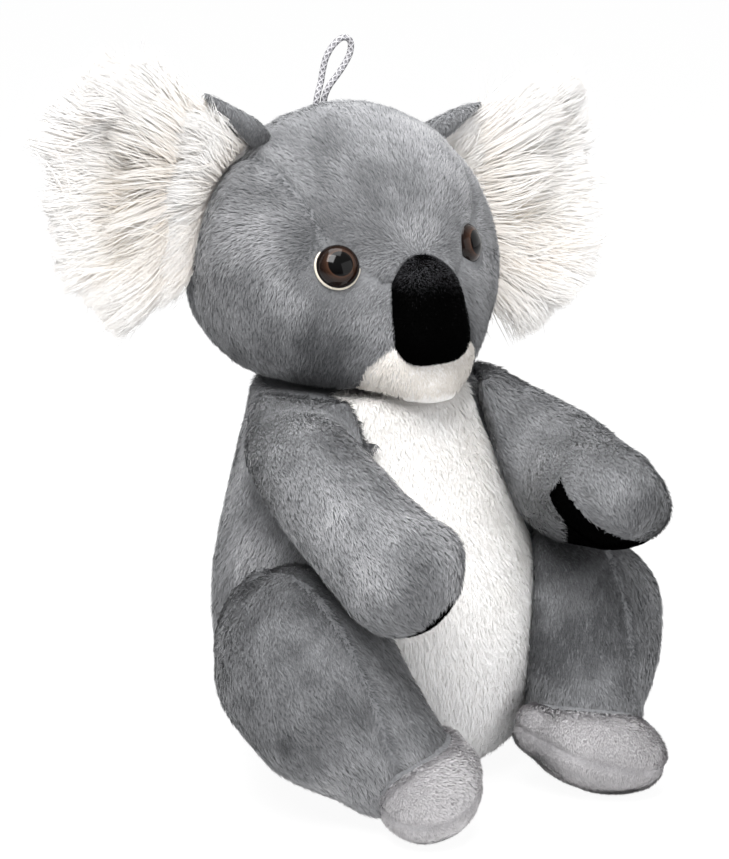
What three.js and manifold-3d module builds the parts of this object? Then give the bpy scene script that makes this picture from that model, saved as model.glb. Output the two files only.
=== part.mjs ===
// A seated plush koala: a pear-shaped torso, a big round head with two long-haired ears, two arms held
// forward, two fat thighs with pale feet, and a short braided loop on the crown to hang it by.
// Each stuffed form is a skin of sewn panels round its own filling of polyester fibre, and the seat
// holds a pouch of plastic pellets.
// Lengths are in millimetres. The toy faces -Y, its left side is +X, and it sits on z = 0.
import * as THREE from 'three';
import { mergeVertices } from 'three/addons/utils/BufferGeometryUtils.js';
import Module from 'manifold-3d';

// Cloth, filling and the clearances between them
const plushThickness = 3.5; // backing cloth with its pile laid flat
const suedeThickness = 2.2; // short-napped cloth of the feet and palms
const seamGap = 0.35; // between two panels that a seam joins
const fillGap = 0.4; // between a skin and its filling
const jointGap = 0.35; // between a limb and what it is sewn to
const sweepGap = 0.9; // between a limb and what it passes while it moves
const floorPress = 0.5; // how deep the floor flattens a soft underside
const cutOverrun = 300; // how far a cutting block runs past the toy

// Torso: its profile is in shares of its half-width and of the neck's height
const neckHeight = 146;
const torsoHalfWidth = 66;
const torsoHalfDepth = 62;
const torsoBaseSet = 9; // how far forward of the origin the torso's foot lies
const torsoLeanAngle = 6.5; // how far it leans back
const seatPanelHeight = 7;
const torsoProfileShares = [
  [0, 0], [0.34, 0], [0.62, 0.015], [0.83, 0.09], [0.96, 0.21], [1, 0.34], [0.965, 0.5],
  [0.885, 0.65], [0.785, 0.8], [0.7, 0.92], [0.625, 1.03], [0.42, 1.14], [0, 1.18],
];
const bellyOutlineShares = [
  [0.4, -0.2], [0.62, 0.05], [0.82, 0.22], [0.88, 0.38], [0.79, 0.58], [0.58, 0.78], [0.42, 0.95],
  [0.38, 1.3],
];

// Pouch of pellets in the seat
const pouchHalfWidth = 36;
const pouchHalfDepth = 32;
const pouchHeight = 22;
const pouchLift = 3; // above the seat panel's inner side

// Head
const headHalfWidth = 63;
const headHalfDepth = 52;
const headRise = 65; // from its widest level to the crown
const headDrop = 45; // from its widest level to the lowest point, below the neck seam
const headAboveNeck = 36; // its widest level above the neck seam
const headSet = 21; // how far behind the origin the head's centre lies
const muzzleReach = 22;
const muzzleDipAngle = 37;
const muzzleSpreadAngle = 34;
const eyeDentDepth = 3;
const eyeDentSpreadAngle = 13;
const crownSeamSet = 12; // the ear-to-ear seam, behind the head's centre
const foreheadOutlineShares = [
  [0.2, 0.08], [0.3, 0.12], [0.42, 0.2], [0.52, 0.34], [0.58, 0.51], [0.62, 0.66], [0.64, 0.8], [0.66, 1.3],
];
const chinOutlineShares = [
  [0.2, -0.34], [0.28, -0.39], [0.36, -0.5], [0.39, -0.6], [0.38, -0.75], [0.38, -1.3],
];

// Nose
const noseHalfWidth = 15;
const noseHalfHeight = 21;
const noseHalfDepth = 12;
const noseBelowWidest = -1;
const noseSetIn = 2.4; // of the nose's middle, behind the muzzle's surface
const noseTiltAngle = 12;
const noseClothThickness = 2;

// Eyes
const eyeRadius = 8;
const eyeDomeHeight = 5.4;
const eyeFlangeThickness = 1.2;
const eyeShankRadius = 2.2;
const eyeShankLength = 13;
const eyeSpacing = 62; // from one eye's centre to the other's
const eyeAboveWidest = 15;
const eyeSetIn = 1.6; // of the flange, behind the face's surface
const eyeTurnAngle = 30; // how far each eye looks outwards
const eyeHoleClearance = 0.35;
const washerRadius = 8;
const washerThickness = 2;
const washerBoreClearance = 0.3;

// Ears
const earBeyondHead = 24; // from the head's side to the middle of the ear
const earHalfWidth = 34;
const earHalfHeight = 44;
const earSet = 13; // behind the head's centre
const earAboveWidest = 28;
const earSkew = 9; // how much higher than that the right ear sits, and lower the left one
const earBackThickness = 3.6;
const earHairThickness = 15;
const earHairFringe = 10; // how far the long hair reaches past the cloth
const earCupDepth = 10;
const earFanShare = 0.1; // how much the ear narrows towards the head
const earSweepAngle = -4; // the outer edge's, backwards
const earRollAngle = 12;
const earLayerGap = 0.4;
const earFoldTravelAngle = 15;
const earPivotShare = 0.89; // of the head's half-width
const earPivotForward = 5; // of the ear's middle

// Arms
const shoulderSpan = 86;
const shoulderBelowNeck = 21;
const shoulderForward = 12;
const shoulderRadius = 20;
const elbowRadius = 21;
const armReach = 68.5; // shoulder to the middle of the hand, straight forward
const armDrop = 24.5; // how much lower the hand is than the shoulder
const armSkew = 7; // how much lower than that the right hand is, and higher the left one
const armBow = 9; // how far the elbow stands out sideways
const elbowRise = 2; // and above the straight line to a hand without its skew
const elbowSkew = 4.5; // how much higher than that the right elbow is, and lower the left one
const elbowShare = 0.45; // of the way from the shoulder to the hand
const handSpan = 92;
const handHalfWidth = 23;
const handHalfHeight = 21.5;
const palmHalfWidth = 16;
const palmHalfLength = 28;
const palmDepth = 14;
const palmAhead = 2; // of the palm's middle, past the hand's
const palmReach = 20; // of the palm's middle, off the arm's axis
const palmRollAngle = 46; // of that way, from straight down towards the toy's middle
const palmRollSkewAngle = 11; // how much more the left hand is rolled, and less the right one
const armRaiseTravelAngle = 40;

// Legs
const hipSpan = 104;
const hipHeight = 54;
const hipForward = 18;
const kneeSpan = 120;
const kneeHeight = 48;
const kneeForward = 44;
const ankleSpan = 90;
const ankleHeight = 25;
const ankleForward = 73;
const thighHalfThickness = 28;
const thighHalfHeight = 33;
const kneeHalfThickness = 33;
const kneeHalfHeight = 37;
const ankleHalfThickness = 22;
const ankleHalfHeight = 24;
const legPivotForward = 2;
const legPivotInset = 6; // inside the middle of the hip
const legSpreadTravelAngle = 20;

// Feet
const footHalfLength = 28;
const footHalfWidth = 20;
const footHalfHeight = 17;
const footInset = 7; // of the foot's middle, inside the ankle's
const footAhead = 14.5; // of the foot's middle, ahead of the ankle's
const footSplayAngle = 46;
const footPitchAngle = 14; // toe down, heel up
const heelRadius = 11;
const heelSetIn = 6; // of the heel's middle, from the end of the plain oval

// Hanging loop: the route of its cord's middle, measured from the crown seam's highest point
const loopCordDiameter = 2.4;
const loopCordSides = 8;
const loopRouteSteps = 26;
const loopRoute = [
  [-4, 0, -1.4], [-2.8, 0.4, 2.6], [-0.4, 1.9, 6.6], [0.8, 2.3, 11], [2.2, 2.2, 15.6],
  [5.2, 1.6, 20.2], [9.2, 0.8, 22.8], [11.8, 0.2, 21.4], [11.6, -0.1, 17.2], [8.6, -0.5, 12.8],
  [4.8, -0.9, 8.8], [1.4, -1.1, 5.4], [-0.2, -0.7, 2.2], [-0.6, 0, -1.4],
];

// How finely the soft forms are divided
const bigAround = 22;
const bigAlong = 14;
const hollowAround = 10;
const hollowAlong = 7;
const limbAround = 14;
const limbCapRings = 4;
const limbRings = 4;
const smallAround = 14;
const smallAlong = 9;
const outlineSteps = 2; // between two points of a panel's outline

// Colours as the eye sees them
const greyPlush = { color: 0x8a8b8d, roughness: 0.95 };
const whitePlush = { color: 0xe9e6e2, roughness: 0.95 };
const paleSuede = { color: 0xb9b7b8, roughness: 0.9 };
const blackPlush = { color: 0x0b0b0c, roughness: 0.9 };
const eyePlastic = { color: 0x2a140c, roughness: 0.08 };
const washerPlastic = { color: 0xd8d8d4, roughness: 0.5 };
const fibreFill = { color: 0xf2f1ee, roughness: 1 };
const pelletCloth = { color: 0xcfcfcf, roughness: 0.9 };
const greyCord = { color: 0xa3a2a3, roughness: 0.85 };

const wasm = await Module();
wasm.setup();
const toRadians = THREE.MathUtils.degToRad;
const sides = [['right', -1], ['left', 1]];
const upright = new THREE.Vector3(0, 0, 1);

// Leaves only positions in a geometry, each shared by the faces that meet there.
function bareOf(geometry) {
  const bare = new THREE.BufferGeometry();
  bare.setAttribute('position', geometry.getAttribute('position').clone());
  if (geometry.index) bare.setIndex(geometry.index.clone());
  return mergeVertices(bare);
}

// Turns a closed geometry into a solid that can be cut and joined.
function solidOf(geometry) {
  const { attributes, index } = bareOf(geometry);
  return new wasm.Manifold(new wasm.Mesh({
    numProp: 3,
    vertProperties: new Float32Array(attributes.position.array),
    triVerts: new Uint32Array(index.array),
  }));
}

// Turns a solid back into a geometry for drawing.
function geometryOf(solid) {
  const { numVert, numProp, vertProperties, triVerts } = solid.getMesh();
  const positions = new Float32Array(numVert * 3);
  for (let i = 0; i < numVert; i++) {
    positions.set(vertProperties.subarray(i * numProp, i * numProp + 3), i * 3);
  }
  const geometry = new THREE.BufferGeometry();
  geometry.setAttribute('position', new THREE.BufferAttribute(positions, 3));
  geometry.setIndex(new THREE.BufferAttribute(new Uint32Array(triVerts), 1));
  geometry.computeVertexNormals();
  return geometry;
}

// Keeps the main body of a solid whose cutting left crumbs.
const largestOf = (solid) => solid.decompose().sort((a, b) => b.volume() - a.volume())[0];

// Moves each point of a geometry to where the given function says.
function reshape(geometry, place) {
  const { position } = geometry.attributes;
  for (let i = 0; i < position.count; i++) {
    const { x, y, z } = place(new THREE.Vector3().fromBufferAttribute(position, i), i);
    position.setXYZ(i, x, y, z);
  }
  return geometry;
}

// Moves a closed surface outwards along its normals, or inwards where the distance is negative.
function offset(geometry, distance) {
  const moved = bareOf(geometry);
  moved.computeVertexNormals();
  const normals = moved.attributes.normal;
  return reshape(moved, (point, i) => (
    point.addScaledVector(new THREE.Vector3().fromBufferAttribute(normals, i), distance)
  ));
}

// A skin of cloth is the outer form with a coarser hollow inside it, and the filling fits that hollow.
const skinOf = (outer, hollowForm, thickness) => outer.subtract(solidOf(offset(hollowForm, -thickness)));
const fillingOf = (hollowForm, thickness) => solidOf(offset(hollowForm, -thickness - fillGap));

// Cutting blocks: all of space on one side of a level plane or of a plane along the toy
function block(low, high) {
  const size = high.clone().sub(low);
  const middle = low.clone().add(high).divideScalar(2);
  return solidOf(new THREE.BoxGeometry(...size.toArray()).translate(...middle.toArray()));
}
const farLow = new THREE.Vector3(-cutOverrun, -cutOverrun, -cutOverrun);
const farHigh = new THREE.Vector3(cutOverrun, cutOverrun, cutOverrun);
const above = (z) => block(farLow.clone().setZ(z), farHigh);
const below = (z) => block(farLow, farHigh.clone().setZ(z));
const behind = (y) => block(farLow.clone().setY(y), farHigh);
const inFrontOf = (y) => block(farLow, farHigh.clone().setY(y));
const leftOf = (x) => block(farLow.clone().setX(x), farHigh);
const rightOf = (x) => block(farLow, farHigh.clone().setX(x));
const middleSlice = block(farLow.clone().setX(-seamGap / 2), farHigh.clone().setX(seamGap / 2));

// A panel's outline on the XZ plane, alike on both sides, run through the toy from front to back.
function outlineBlock(halfPoints, inset, front, back) {
  const half = new THREE.SplineCurve(halfPoints.map(([x, z]) => new THREE.Vector2(x, z)))
    .getPoints(halfPoints.length * outlineSteps)
    .map(({ x, y }) => new THREE.Vector2(Math.max(x - inset, inset), y));
  const mirrored = half.map(({ x, y }) => new THREE.Vector2(-x, y)).reverse();
  const geometry = new THREE.ExtrudeGeometry(new THREE.Shape([...half, ...mirrored]), {
    depth: back - front,
    bevelEnabled: false,
  });
  return solidOf(geometry.rotateX(Math.PI / 2).translate(0, back, 0));
}

// A squashed ball, turned about X and then about Z, with its middle at the given place.
function plumpForm(place, halfSizes, around, along, pitchAngle = 0, turnAngle = 0) {
  return new THREE.SphereGeometry(1, around, along)
    .rotateX(Math.PI / 2)
    .scale(...halfSizes)
    .rotateX(toRadians(pitchAngle))
    .rotateZ(toRadians(turnAngle))
    .translate(...place.toArray());
}

// A round-ended form that swells and tapers along a curve, drawn in by the inset. Each station is a
// half-width and a half-height, at an equal share of the way along.
function limbForm(points, stations, inset, around, capRings, rings) {
  const spine = new THREE.CatmullRomCurve3(points);
  const sizes = new THREE.CatmullRomCurve3(stations.map(([wide, high]) => (
    new THREE.Vector3(wide - inset, high - inset, 0)
  )));
  return reshape(new THREE.CapsuleGeometry(1, 1, capRings, around, rings), ({ x, y, z }) => {
    const share = THREE.MathUtils.clamp(y + 1 / 2, 0, 1);
    const past = y + 1 / 2 - share;
    const along = spine.getTangent(share);
    const across = new THREE.Vector3().crossVectors(along, upright).normalize();
    const rise = new THREE.Vector3().crossVectors(across, along);
    const size = sizes.getPoint(share);
    return spine.getPoint(share)
      .addScaledVector(along, past * Math.min(size.x, size.y))
      .addScaledVector(across, x * size.x)
      .addScaledVector(rise, z * size.y);
  });
}

// Takes from a piece all that a still neighbour would meet while the piece turns to each angle.
function clearOfSweep(piece, neighbour, pivot, axis, angles) {
  return angles.reduce((cleared, angle) => {
    const turn = new THREE.Matrix4().makeTranslation(pivot.x, pivot.y, pivot.z)
      .multiply(new THREE.Matrix4().makeRotationAxis(axis, -toRadians(angle)))
      .multiply(new THREE.Matrix4().makeTranslation(-pivot.x, -pivot.y, -pivot.z));
    return cleared.subtract(neighbour.transform(turn.elements));
  }, piece);
}
const stepsTo = (angle) => [angle / 3, angle * 2 / 3, angle];

const toy = new THREE.Group();

// Adds one finished piece to the toy.
function add(name, solid, finish) {
  const material = new THREE.MeshStandardMaterial({ metalness: 0, ...finish });
  const mesh = new THREE.Mesh(geometryOf(largestOf(solid)), material);
  mesh.name = name;
  toy.add(mesh);
}

// Torso: two sides that meet down the back, a white belly and a seat round a filling and the pouch
function torsoForm(around, along) {
  const profile = torsoProfileShares.map(([radius, height]) => (
    new THREE.Vector2(radius * torsoHalfWidth, height * neckHeight - floorPress)
  ));
  const points = new THREE.SplineCurve(profile).getPoints(along);
  points[0].x = 0;
  points[points.length - 1].x = 0;
  return new THREE.LatheGeometry(points, around)
    .rotateX(Math.PI / 2)
    .scale(1, torsoHalfDepth / torsoHalfWidth, 1)
    .applyMatrix4(new THREE.Matrix4().makeShear(0, 0, 0, 0, 0, Math.tan(toRadians(torsoLeanAngle))))
    .translate(0, -torsoBaseSet, 0);
}
const torsoOuterForm = torsoForm(bigAround, bigAlong);
const torsoHollowForm = torsoForm(hollowAround, hollowAlong);
const torsoJointed = solidOf(offset(torsoOuterForm, jointGap));
const torsoSwept = solidOf(offset(torsoOuterForm, sweepGap));
const floor = below(0);

function pouchForm(growth) {
  const middle = new THREE.Vector3(0, -torsoBaseSet, plushThickness + pouchLift + pouchHeight / 2);
  const halfSizes = [pouchHalfWidth + growth, pouchHalfDepth + growth, pouchHeight / 2 + growth];
  return plumpForm(middle, halfSizes, hollowAround, hollowAlong);
}

function addTorso() {
  const overNeck = above(neckHeight - jointGap / 2);
  const outer = solidOf(torsoOuterForm).subtract(floor).subtract(overNeck);
  const skin = skinOf(outer, torsoHollowForm, plushThickness);
  const panels = skin.subtract(below(seatPanelHeight + seamGap));
  const belly = bellyOutlineShares.map(([x, z]) => [x * torsoHalfWidth, z * neckHeight]);
  const bellyZone = outlineBlock(belly, seamGap, -cutOverrun, -torsoBaseSet - seamGap);
  const bellyCut = outlineBlock(belly, 0, -cutOverrun, -torsoBaseSet);
  const flanks = panels.subtract(bellyCut).subtract(middleSlice);
  add('belly_panel', panels.intersect(bellyZone), whitePlush);
  add('torso_side_left', flanks.intersect(leftOf(0)), greyPlush);
  add('torso_side_right', flanks.intersect(rightOf(0)), greyPlush);
  add('seat_panel', skin.intersect(below(seatPanelHeight)), greyPlush);
  add('pellet_pouch', solidOf(pouchForm(0)), pelletCloth);
  const filling = fillingOf(torsoHollowForm, plushThickness)
    .subtract(overNeck)
    .subtract(below(plushThickness + pouchLift))
    .subtract(solidOf(pouchForm(fillGap)));
  add('torso_filling', filling, fibreFill);
}

// Head: an egg that is widest low down, with a muzzle below the middle and a dent at each eye
const headCentre = new THREE.Vector3(0, headSet, neckHeight + headAboveNeck);
const halfHeightAt = (z) => (z > 0 ? headRise : headDrop);

// The point of the plain egg's face at a place across and up from the head's centre.
function facePoint(x, z) {
  const share = 1 - (x / headHalfWidth) ** 2 - (z / halfHeightAt(z)) ** 2;
  return new THREE.Vector3(x, -headHalfDepth * Math.sqrt(share), z);
}
const eggEyes = sides.map(([, side]) => facePoint(side * eyeSpacing / 2, eyeAboveWidest));
const muzzleDip = toRadians(muzzleDipAngle);
const muzzleWay = new THREE.Vector3(0, -Math.cos(muzzleDip), -Math.sin(muzzleDip));

// A soft bump that is 1 in the direction it stands in and fades over the spread angle.
function bump(way, towards, spreadAngle) {
  return Math.exp(-((way.angleTo(towards) / toRadians(spreadAngle)) ** 2));
}

// Moves a point of the plain egg to the shaped head's surface, in the toy's frame.
function onHead(eggPoint) {
  const outwards = eggPoint.clone().normalize();
  const point = eggPoint.clone().add(headCentre);
  point.addScaledVector(muzzleWay, muzzleReach * bump(outwards, muzzleWay, muzzleSpreadAngle));
  eggEyes.forEach((eye) => {
    point.addScaledVector(outwards, -eyeDentDepth * bump(outwards, eye, eyeDentSpreadAngle));
  });
  return point;
}

function headForm(around, along) {
  return reshape(new THREE.SphereGeometry(1, around, along).rotateX(Math.PI / 2), ({ x, y, z }) => (
    onHead(new THREE.Vector3(x * headHalfWidth, y * headHalfDepth, z * halfHeightAt(z)))
  ));
}
const headOuterForm = headForm(bigAround, bigAlong);
const headHollowForm = headForm(hollowAround, hollowAlong);
const headJointed = solidOf(offset(headOuterForm, jointGap));
const headSwept = solidOf(offset(headOuterForm, sweepGap));

// A round piece given by radius and depth behind the eye's flange, in the frame of one eye.
function turned(profile, frame) {
  const points = profile.map(([radius, depth]) => new THREE.Vector2(radius, depth));
  return solidOf(new THREE.LatheGeometry(points, hollowAround).applyMatrix4(frame));
}
const rod = (radius, front, back, frame) => (
  turned([[0, front], [radius, front], [radius, back], [0, back]], frame)
);

// A glossy dome on a flange, with a shank that a washer grips from inside.
function eyeSolid(frame) {
  const domeSteps = 6;
  const dome = Array.from({ length: domeSteps }, (_, i) => {
    const turn = i / domeSteps * Math.PI / 2;
    return [eyeRadius * Math.sin(turn), -eyeDomeHeight * Math.cos(turn)];
  });
  return turned([
    ...dome, [eyeRadius, 0], [eyeRadius, eyeFlangeThickness], [eyeShankRadius, eyeFlangeThickness],
    [eyeShankRadius, eyeShankLength], [0, eyeShankLength],
  ], frame);
}

function addHead() {
  const underNeck = below(neckHeight + jointGap / 2);
  let skin = skinOf(solidOf(headOuterForm).subtract(underNeck), headHollowForm, plushThickness);
  let filling = fillingOf(headHollowForm, plushThickness).subtract(underNeck);
  sides.forEach(([name, side], i) => {
    const place = onHead(eggEyes[i]);
    const frame = new THREE.Matrix4().makeTranslation(place.x, place.y + eyeSetIn, place.z)
      .multiply(new THREE.Matrix4().makeRotationZ(side * toRadians(eyeTurnAngle)));
    add(`eye_${name}`, eyeSolid(frame), eyePlastic);
    const front = eyeFlangeThickness + plushThickness + 2 * fillGap;
    const back = front + washerThickness;
    const bore = eyeShankRadius + washerBoreClearance;
    const washer = turned([
      [bore, front], [washerRadius, front], [washerRadius, back], [bore, back], [bore, front],
    ], frame);
    add(`eye_washer_${name}`, washer, washerPlastic);
    const seat = eyeFlangeThickness + eyeHoleClearance;
    const end = eyeShankLength + fillGap;
    const socket = rod(eyeRadius + eyeHoleClearance, -cutOverrun, seat, frame)
      .add(rod(eyeShankRadius + eyeHoleClearance, -cutOverrun, end, frame))
      .add(rod(washerRadius + fillGap, front - fillGap, end, frame));
    skin = skin.subtract(socket);
    filling = filling.subtract(socket);
  });
  const crownSeam = headCentre.y + crownSeamSet;
  const forehead = foreheadOutlineShares.map(([x, z]) => [x * headHalfWidth, headCentre.z + z * headRise]);
  const chin = chinOutlineShares.map(([x, z]) => [x * headHalfWidth, headCentre.z + z * headDrop]);
  const foreheadZone = outlineBlock(forehead, seamGap, -cutOverrun, crownSeam - seamGap);
  const foreheadCut = outlineBlock(forehead, 0, -cutOverrun, crownSeam);
  const chinZone = outlineBlock(chin, seamGap, -cutOverrun, headCentre.y - seamGap);
  const chinCut = outlineBlock(chin, 0, -cutOverrun, headCentre.y);
  const cheeks = skin.intersect(inFrontOf(crownSeam - seamGap)).subtract(foreheadCut)
    .subtract(chinCut).subtract(middleSlice);
  const backs = skin.intersect(behind(crownSeam)).subtract(middleSlice);
  add('head_forehead', skin.intersect(foreheadZone), greyPlush);
  add('head_chin', skin.intersect(chinZone).subtract(foreheadCut), whitePlush);
  add('head_cheek_left', cheeks.intersect(leftOf(0)), greyPlush);
  add('head_cheek_right', cheeks.intersect(rightOf(0)), greyPlush);
  add('head_back_left', backs.intersect(leftOf(0)), greyPlush);
  add('head_back_right', backs.intersect(rightOf(0)), greyPlush);
  add('head_filling', filling, fibreFill);
}

// The nose: a tall oval pad of black plush, stuffed and sewn to the muzzle
function addNose() {
  const place = onHead(facePoint(0, -noseBelowWidest));
  place.y += noseSetIn;
  const form = (inset, around, along) => solidOf(plumpForm(
    place,
    [noseHalfWidth - inset, noseHalfDepth - inset, noseHalfHeight - inset],
    around, along, -noseTiltAngle,
  ));
  const cover = form(0, smallAround, smallAlong).subtract(headJointed);
  add('nose_cover', cover.subtract(form(noseClothThickness, hollowAround, hollowAlong)), blackPlush);
  const filling = form(noseClothThickness + fillGap, hollowAround, hollowAlong);
  add('nose_filling', filling.subtract(headJointed), fibreFill);
}

// Ears: a cupped disc of grey plush with a thick pad of long white hair on its front
function earForm(side, growth, thickness, forward) {
  const ball = new THREE.SphereGeometry(1, smallAround, hollowAlong).rotateX(Math.PI / 2);
  const geometry = reshape(ball, ({ x, y, z }) => {
    const fan = 1 - earFanShare + earFanShare * x;
    const cup = earCupDepth * (1 / 2 - x * x - z * z) / 2;
    return new THREE.Vector3(
      x * (earHalfWidth + growth),
      y * thickness / 2 + cup - forward,
      z * (earHalfHeight + growth) * fan,
    );
  });
  geometry.rotateZ(toRadians(earSweepAngle)).rotateY(-toRadians(earRollAngle));
  geometry.translate(
    headHalfWidth + earBeyondHead,
    headCentre.y + earSet,
    headCentre.z + earAboveWidest - side * earSkew,
  );
  return side > 0 ? solidOf(geometry) : solidOf(geometry).mirror([1, 0, 0]);
}

function addEar(name, side) {
  const pivot = new THREE.Vector3(
    side * headHalfWidth * earPivotShare,
    headCentre.y + earSet - earPivotForward,
    0,
  );
  const travel = [earFoldTravelAngle, -earFoldTravelAngle];
  const forward = (earHairThickness + earBackThickness) / 2 + earLayerGap;
  const hair = earForm(side, earHairFringe, earHairThickness, forward);
  const hairRoom = earForm(side, earHairFringe, earHairThickness + earLayerGap, forward - earLayerGap / 2);
  const back = earForm(side, 0, earBackThickness, 0).subtract(hairRoom);
  const fitted = (piece) => (
    clearOfSweep(piece.subtract(headJointed), headJointed, pivot, upright, travel)
  );
  add(`ear_${name}_hair`, fitted(hair), whitePlush);
  add(`ear_${name}_back`, fitted(back), greyPlush);
}

// Legs: an outer and an inner panel on a fat thigh that narrows to the ankle
function legForm(side, inset, around, capRings, rings) {
  const points = [
    new THREE.Vector3(side * hipSpan / 2, -hipForward, hipHeight),
    new THREE.Vector3(side * kneeSpan / 2, -kneeForward, kneeHeight),
    new THREE.Vector3(side * ankleSpan / 2, -ankleForward, ankleHeight),
  ];
  const stations = [
    [thighHalfThickness, thighHalfHeight],
    [kneeHalfThickness, kneeHalfHeight],
    [ankleHalfThickness, ankleHalfHeight],
  ];
  return limbForm(points, stations, inset, around, capRings, rings);
}

function addLeg(name, side) {
  const pivot = new THREE.Vector3(side * (hipSpan / 2 - legPivotInset), -legPivotForward, 0);
  const outwards = new THREE.Vector3(0, 0, side);
  const travel = stepsTo(legSpreadTravelAngle);
  const fitted = (piece) => {
    const grounded = piece.subtract(floor).subtract(torsoJointed);
    return clearOfSweep(grounded, torsoSwept, pivot, outwards, travel);
  };
  const form = legForm(side, 0, limbAround, limbCapRings, limbRings);
  const inner = (inset) => solidOf(legForm(side, inset, hollowAround, limbCapRings / 2, limbRings / 2));
  const skin = fitted(solidOf(form)).subtract(inner(plushThickness));
  const seam = hipSpan / 2;
  const [outerZone, innerZone] = side > 0
    ? [leftOf(seam), rightOf(seam - seamGap)]
    : [rightOf(-seam), leftOf(seamGap - seam)];
  add(`leg_${name}_outer`, skin.intersect(outerZone), greyPlush);
  add(`leg_${name}_inner`, skin.intersect(innerZone), greyPlush);
  add(`leg_${name}_filling`, fitted(inner(plushThickness + fillGap)), fibreFill);
  return solidOf(offset(form, jointGap));
}

// Feet: a plump oval with its heel towards the middle, and a seam between its top and its sole
function addFoot(name, side, legJointed) {
  const pitch = toRadians(footPitchAngle);
  const lowest = Math.hypot(footHalfHeight * Math.cos(pitch), footHalfLength * Math.sin(pitch));
  const place = new THREE.Vector3(
    side * (ankleSpan / 2 - footInset),
    -ankleForward - footAhead,
    lowest - floorPress,
  );
  const form = (inset, around, along) => solidOf(plumpForm(
    place,
    [footHalfWidth - inset, footHalfLength - inset, footHalfHeight - inset],
    around, along, footPitchAngle, side * footSplayAngle,
  ));
  const heelWay = new THREE.Vector3(0, 1, 0)
    .applyAxisAngle(new THREE.Vector3(1, 0, 0), pitch)
    .applyAxisAngle(upright, side * toRadians(footSplayAngle));
  const heelPlace = place.clone().addScaledVector(heelWay, footHalfLength - heelSetIn);
  const heel = plumpForm(heelPlace, [heelRadius, heelRadius, heelRadius], hollowAround, hollowAlong);
  const outer = form(0, smallAround, smallAlong).add(solidOf(heel))
    .subtract(floor).subtract(legJointed).subtract(torsoJointed);
  const skin = outer.subtract(form(suedeThickness, hollowAround, hollowAlong));
  const seamTilt = new THREE.Matrix4().makeTranslation(place.x, place.y, place.z)
    .multiply(new THREE.Matrix4().makeRotationZ(side * toRadians(footSplayAngle)))
    .multiply(new THREE.Matrix4().makeRotationX(pitch));
  add(`foot_${name}_top`, skin.intersect(above(seamGap).transform(seamTilt.elements)), paleSuede);
  add(`foot_${name}_sole`, skin.intersect(below(0).transform(seamTilt.elements)), paleSuede);
  const filling = form(suedeThickness + fillGap, hollowAround, hollowAlong);
  add(`foot_${name}_filling`, filling.subtract(legJointed), fibreFill);
}

// Arms: a sleeve with a black palm patch under the hand
function addArm(name, side, legJointed) {
  const shoulderHeight = neckHeight - shoulderBelowNeck;
  const handHeight = shoulderHeight - armDrop + side * armSkew;
  const shoulder = new THREE.Vector3(side * shoulderSpan / 2, -shoulderForward, shoulderHeight);
  const hand = new THREE.Vector3(side * handSpan / 2, -shoulderForward - armReach, handHeight);
  const elbow = shoulder.clone().lerp(hand, elbowShare);
  elbow.x += side * armBow;
  elbow.z = shoulderHeight - armDrop * elbowShare + elbowRise - side * elbowSkew;
  const stations = [
    [shoulderRadius, shoulderRadius],
    [elbowRadius, elbowRadius],
    [handHalfWidth, handHalfHeight],
  ];
  const form = (inset, around, capRings, rings) => solidOf(
    limbForm([shoulder, elbow, hand], stations, inset, around, capRings, rings),
  );
  const raising = new THREE.Vector3(-1, 0, 0);
  const travel = stepsTo(armRaiseTravelAngle);
  const fitted = (piece) => {
    const offTorso = clearOfSweep(piece.subtract(torsoJointed), torsoSwept, shoulder, raising, travel);
    return clearOfSweep(offTorso, headSwept, shoulder, raising, [0, ...travel]).subtract(legJointed);
  };
  const inner = (inset) => form(inset, hollowAround, limbCapRings / 2, limbRings / 2);
  const skin = fitted(form(0, limbAround, limbCapRings, limbRings)).subtract(inner(plushThickness));
  const roll = toRadians(palmRollAngle + side * palmRollSkewAngle);
  const palmWay = new THREE.Vector3(-side * Math.sin(roll), 0, -Math.cos(roll));
  const palmPlace = hand.clone().addScaledVector(palmWay, palmReach);
  palmPlace.y -= palmAhead;
  const palm = plumpForm(palmPlace, [palmHalfWidth, palmHalfLength, palmDepth], smallAround, hollowAlong);
  add(`arm_${name}_palm`, skin.intersect(solidOf(offset(palm, -seamGap))), blackPlush);
  add(`arm_${name}_sleeve`, skin.subtract(solidOf(palm)), greyPlush);
  add(`arm_${name}_filling`, fitted(inner(plushThickness + fillGap)), fibreFill);
}

// The hanging loop: one braided cord whose two ends are sewn into the crown seam
function addLoop() {
  const crownHeight = headRise * Math.sqrt(1 - (crownSeamSet / headHalfDepth) ** 2);
  const crown = new THREE.Vector3(0, crownSeamSet, crownHeight);
  const route = loopRoute.map((point) => new THREE.Vector3(...point).add(crown).add(headCentre));
  const section = new THREE.Shape(Array.from({ length: loopCordSides }, (_, i) => {
    const turn = i / loopCordSides * Math.PI * 2;
    return new THREE.Vector2(Math.cos(turn), Math.sin(turn)).multiplyScalar(loopCordDiameter / 2);
  }));
  const geometry = new THREE.ExtrudeGeometry(section, {
    steps: loopRouteSteps,
    bevelEnabled: false,
    extrudePath: new THREE.CatmullRomCurve3(route),
  });
  add('hanging_loop', solidOf(geometry).subtract(headJointed), greyCord);
}

addTorso();
addHead();
addNose();
addLoop();
sides.forEach(([name, side]) => {
  addEar(name, side);
  const legJointed = addLeg(name, side);
  addFoot(name, side, legJointed);
  addArm(name, side, legJointed);
});

export default toy;
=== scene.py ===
"""A seated plush koala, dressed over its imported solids.

Each stuffed form is a padded skin that is blown up like the real one, with its seams pinned, and then
covered with pile: short flat strands, and long hair on the ears. Sizes are in millimetres in the tables
below and in metres in the meshes.
"""
from math import cos, hypot, pi, radians, sin, sqrt, tan, tau

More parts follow.
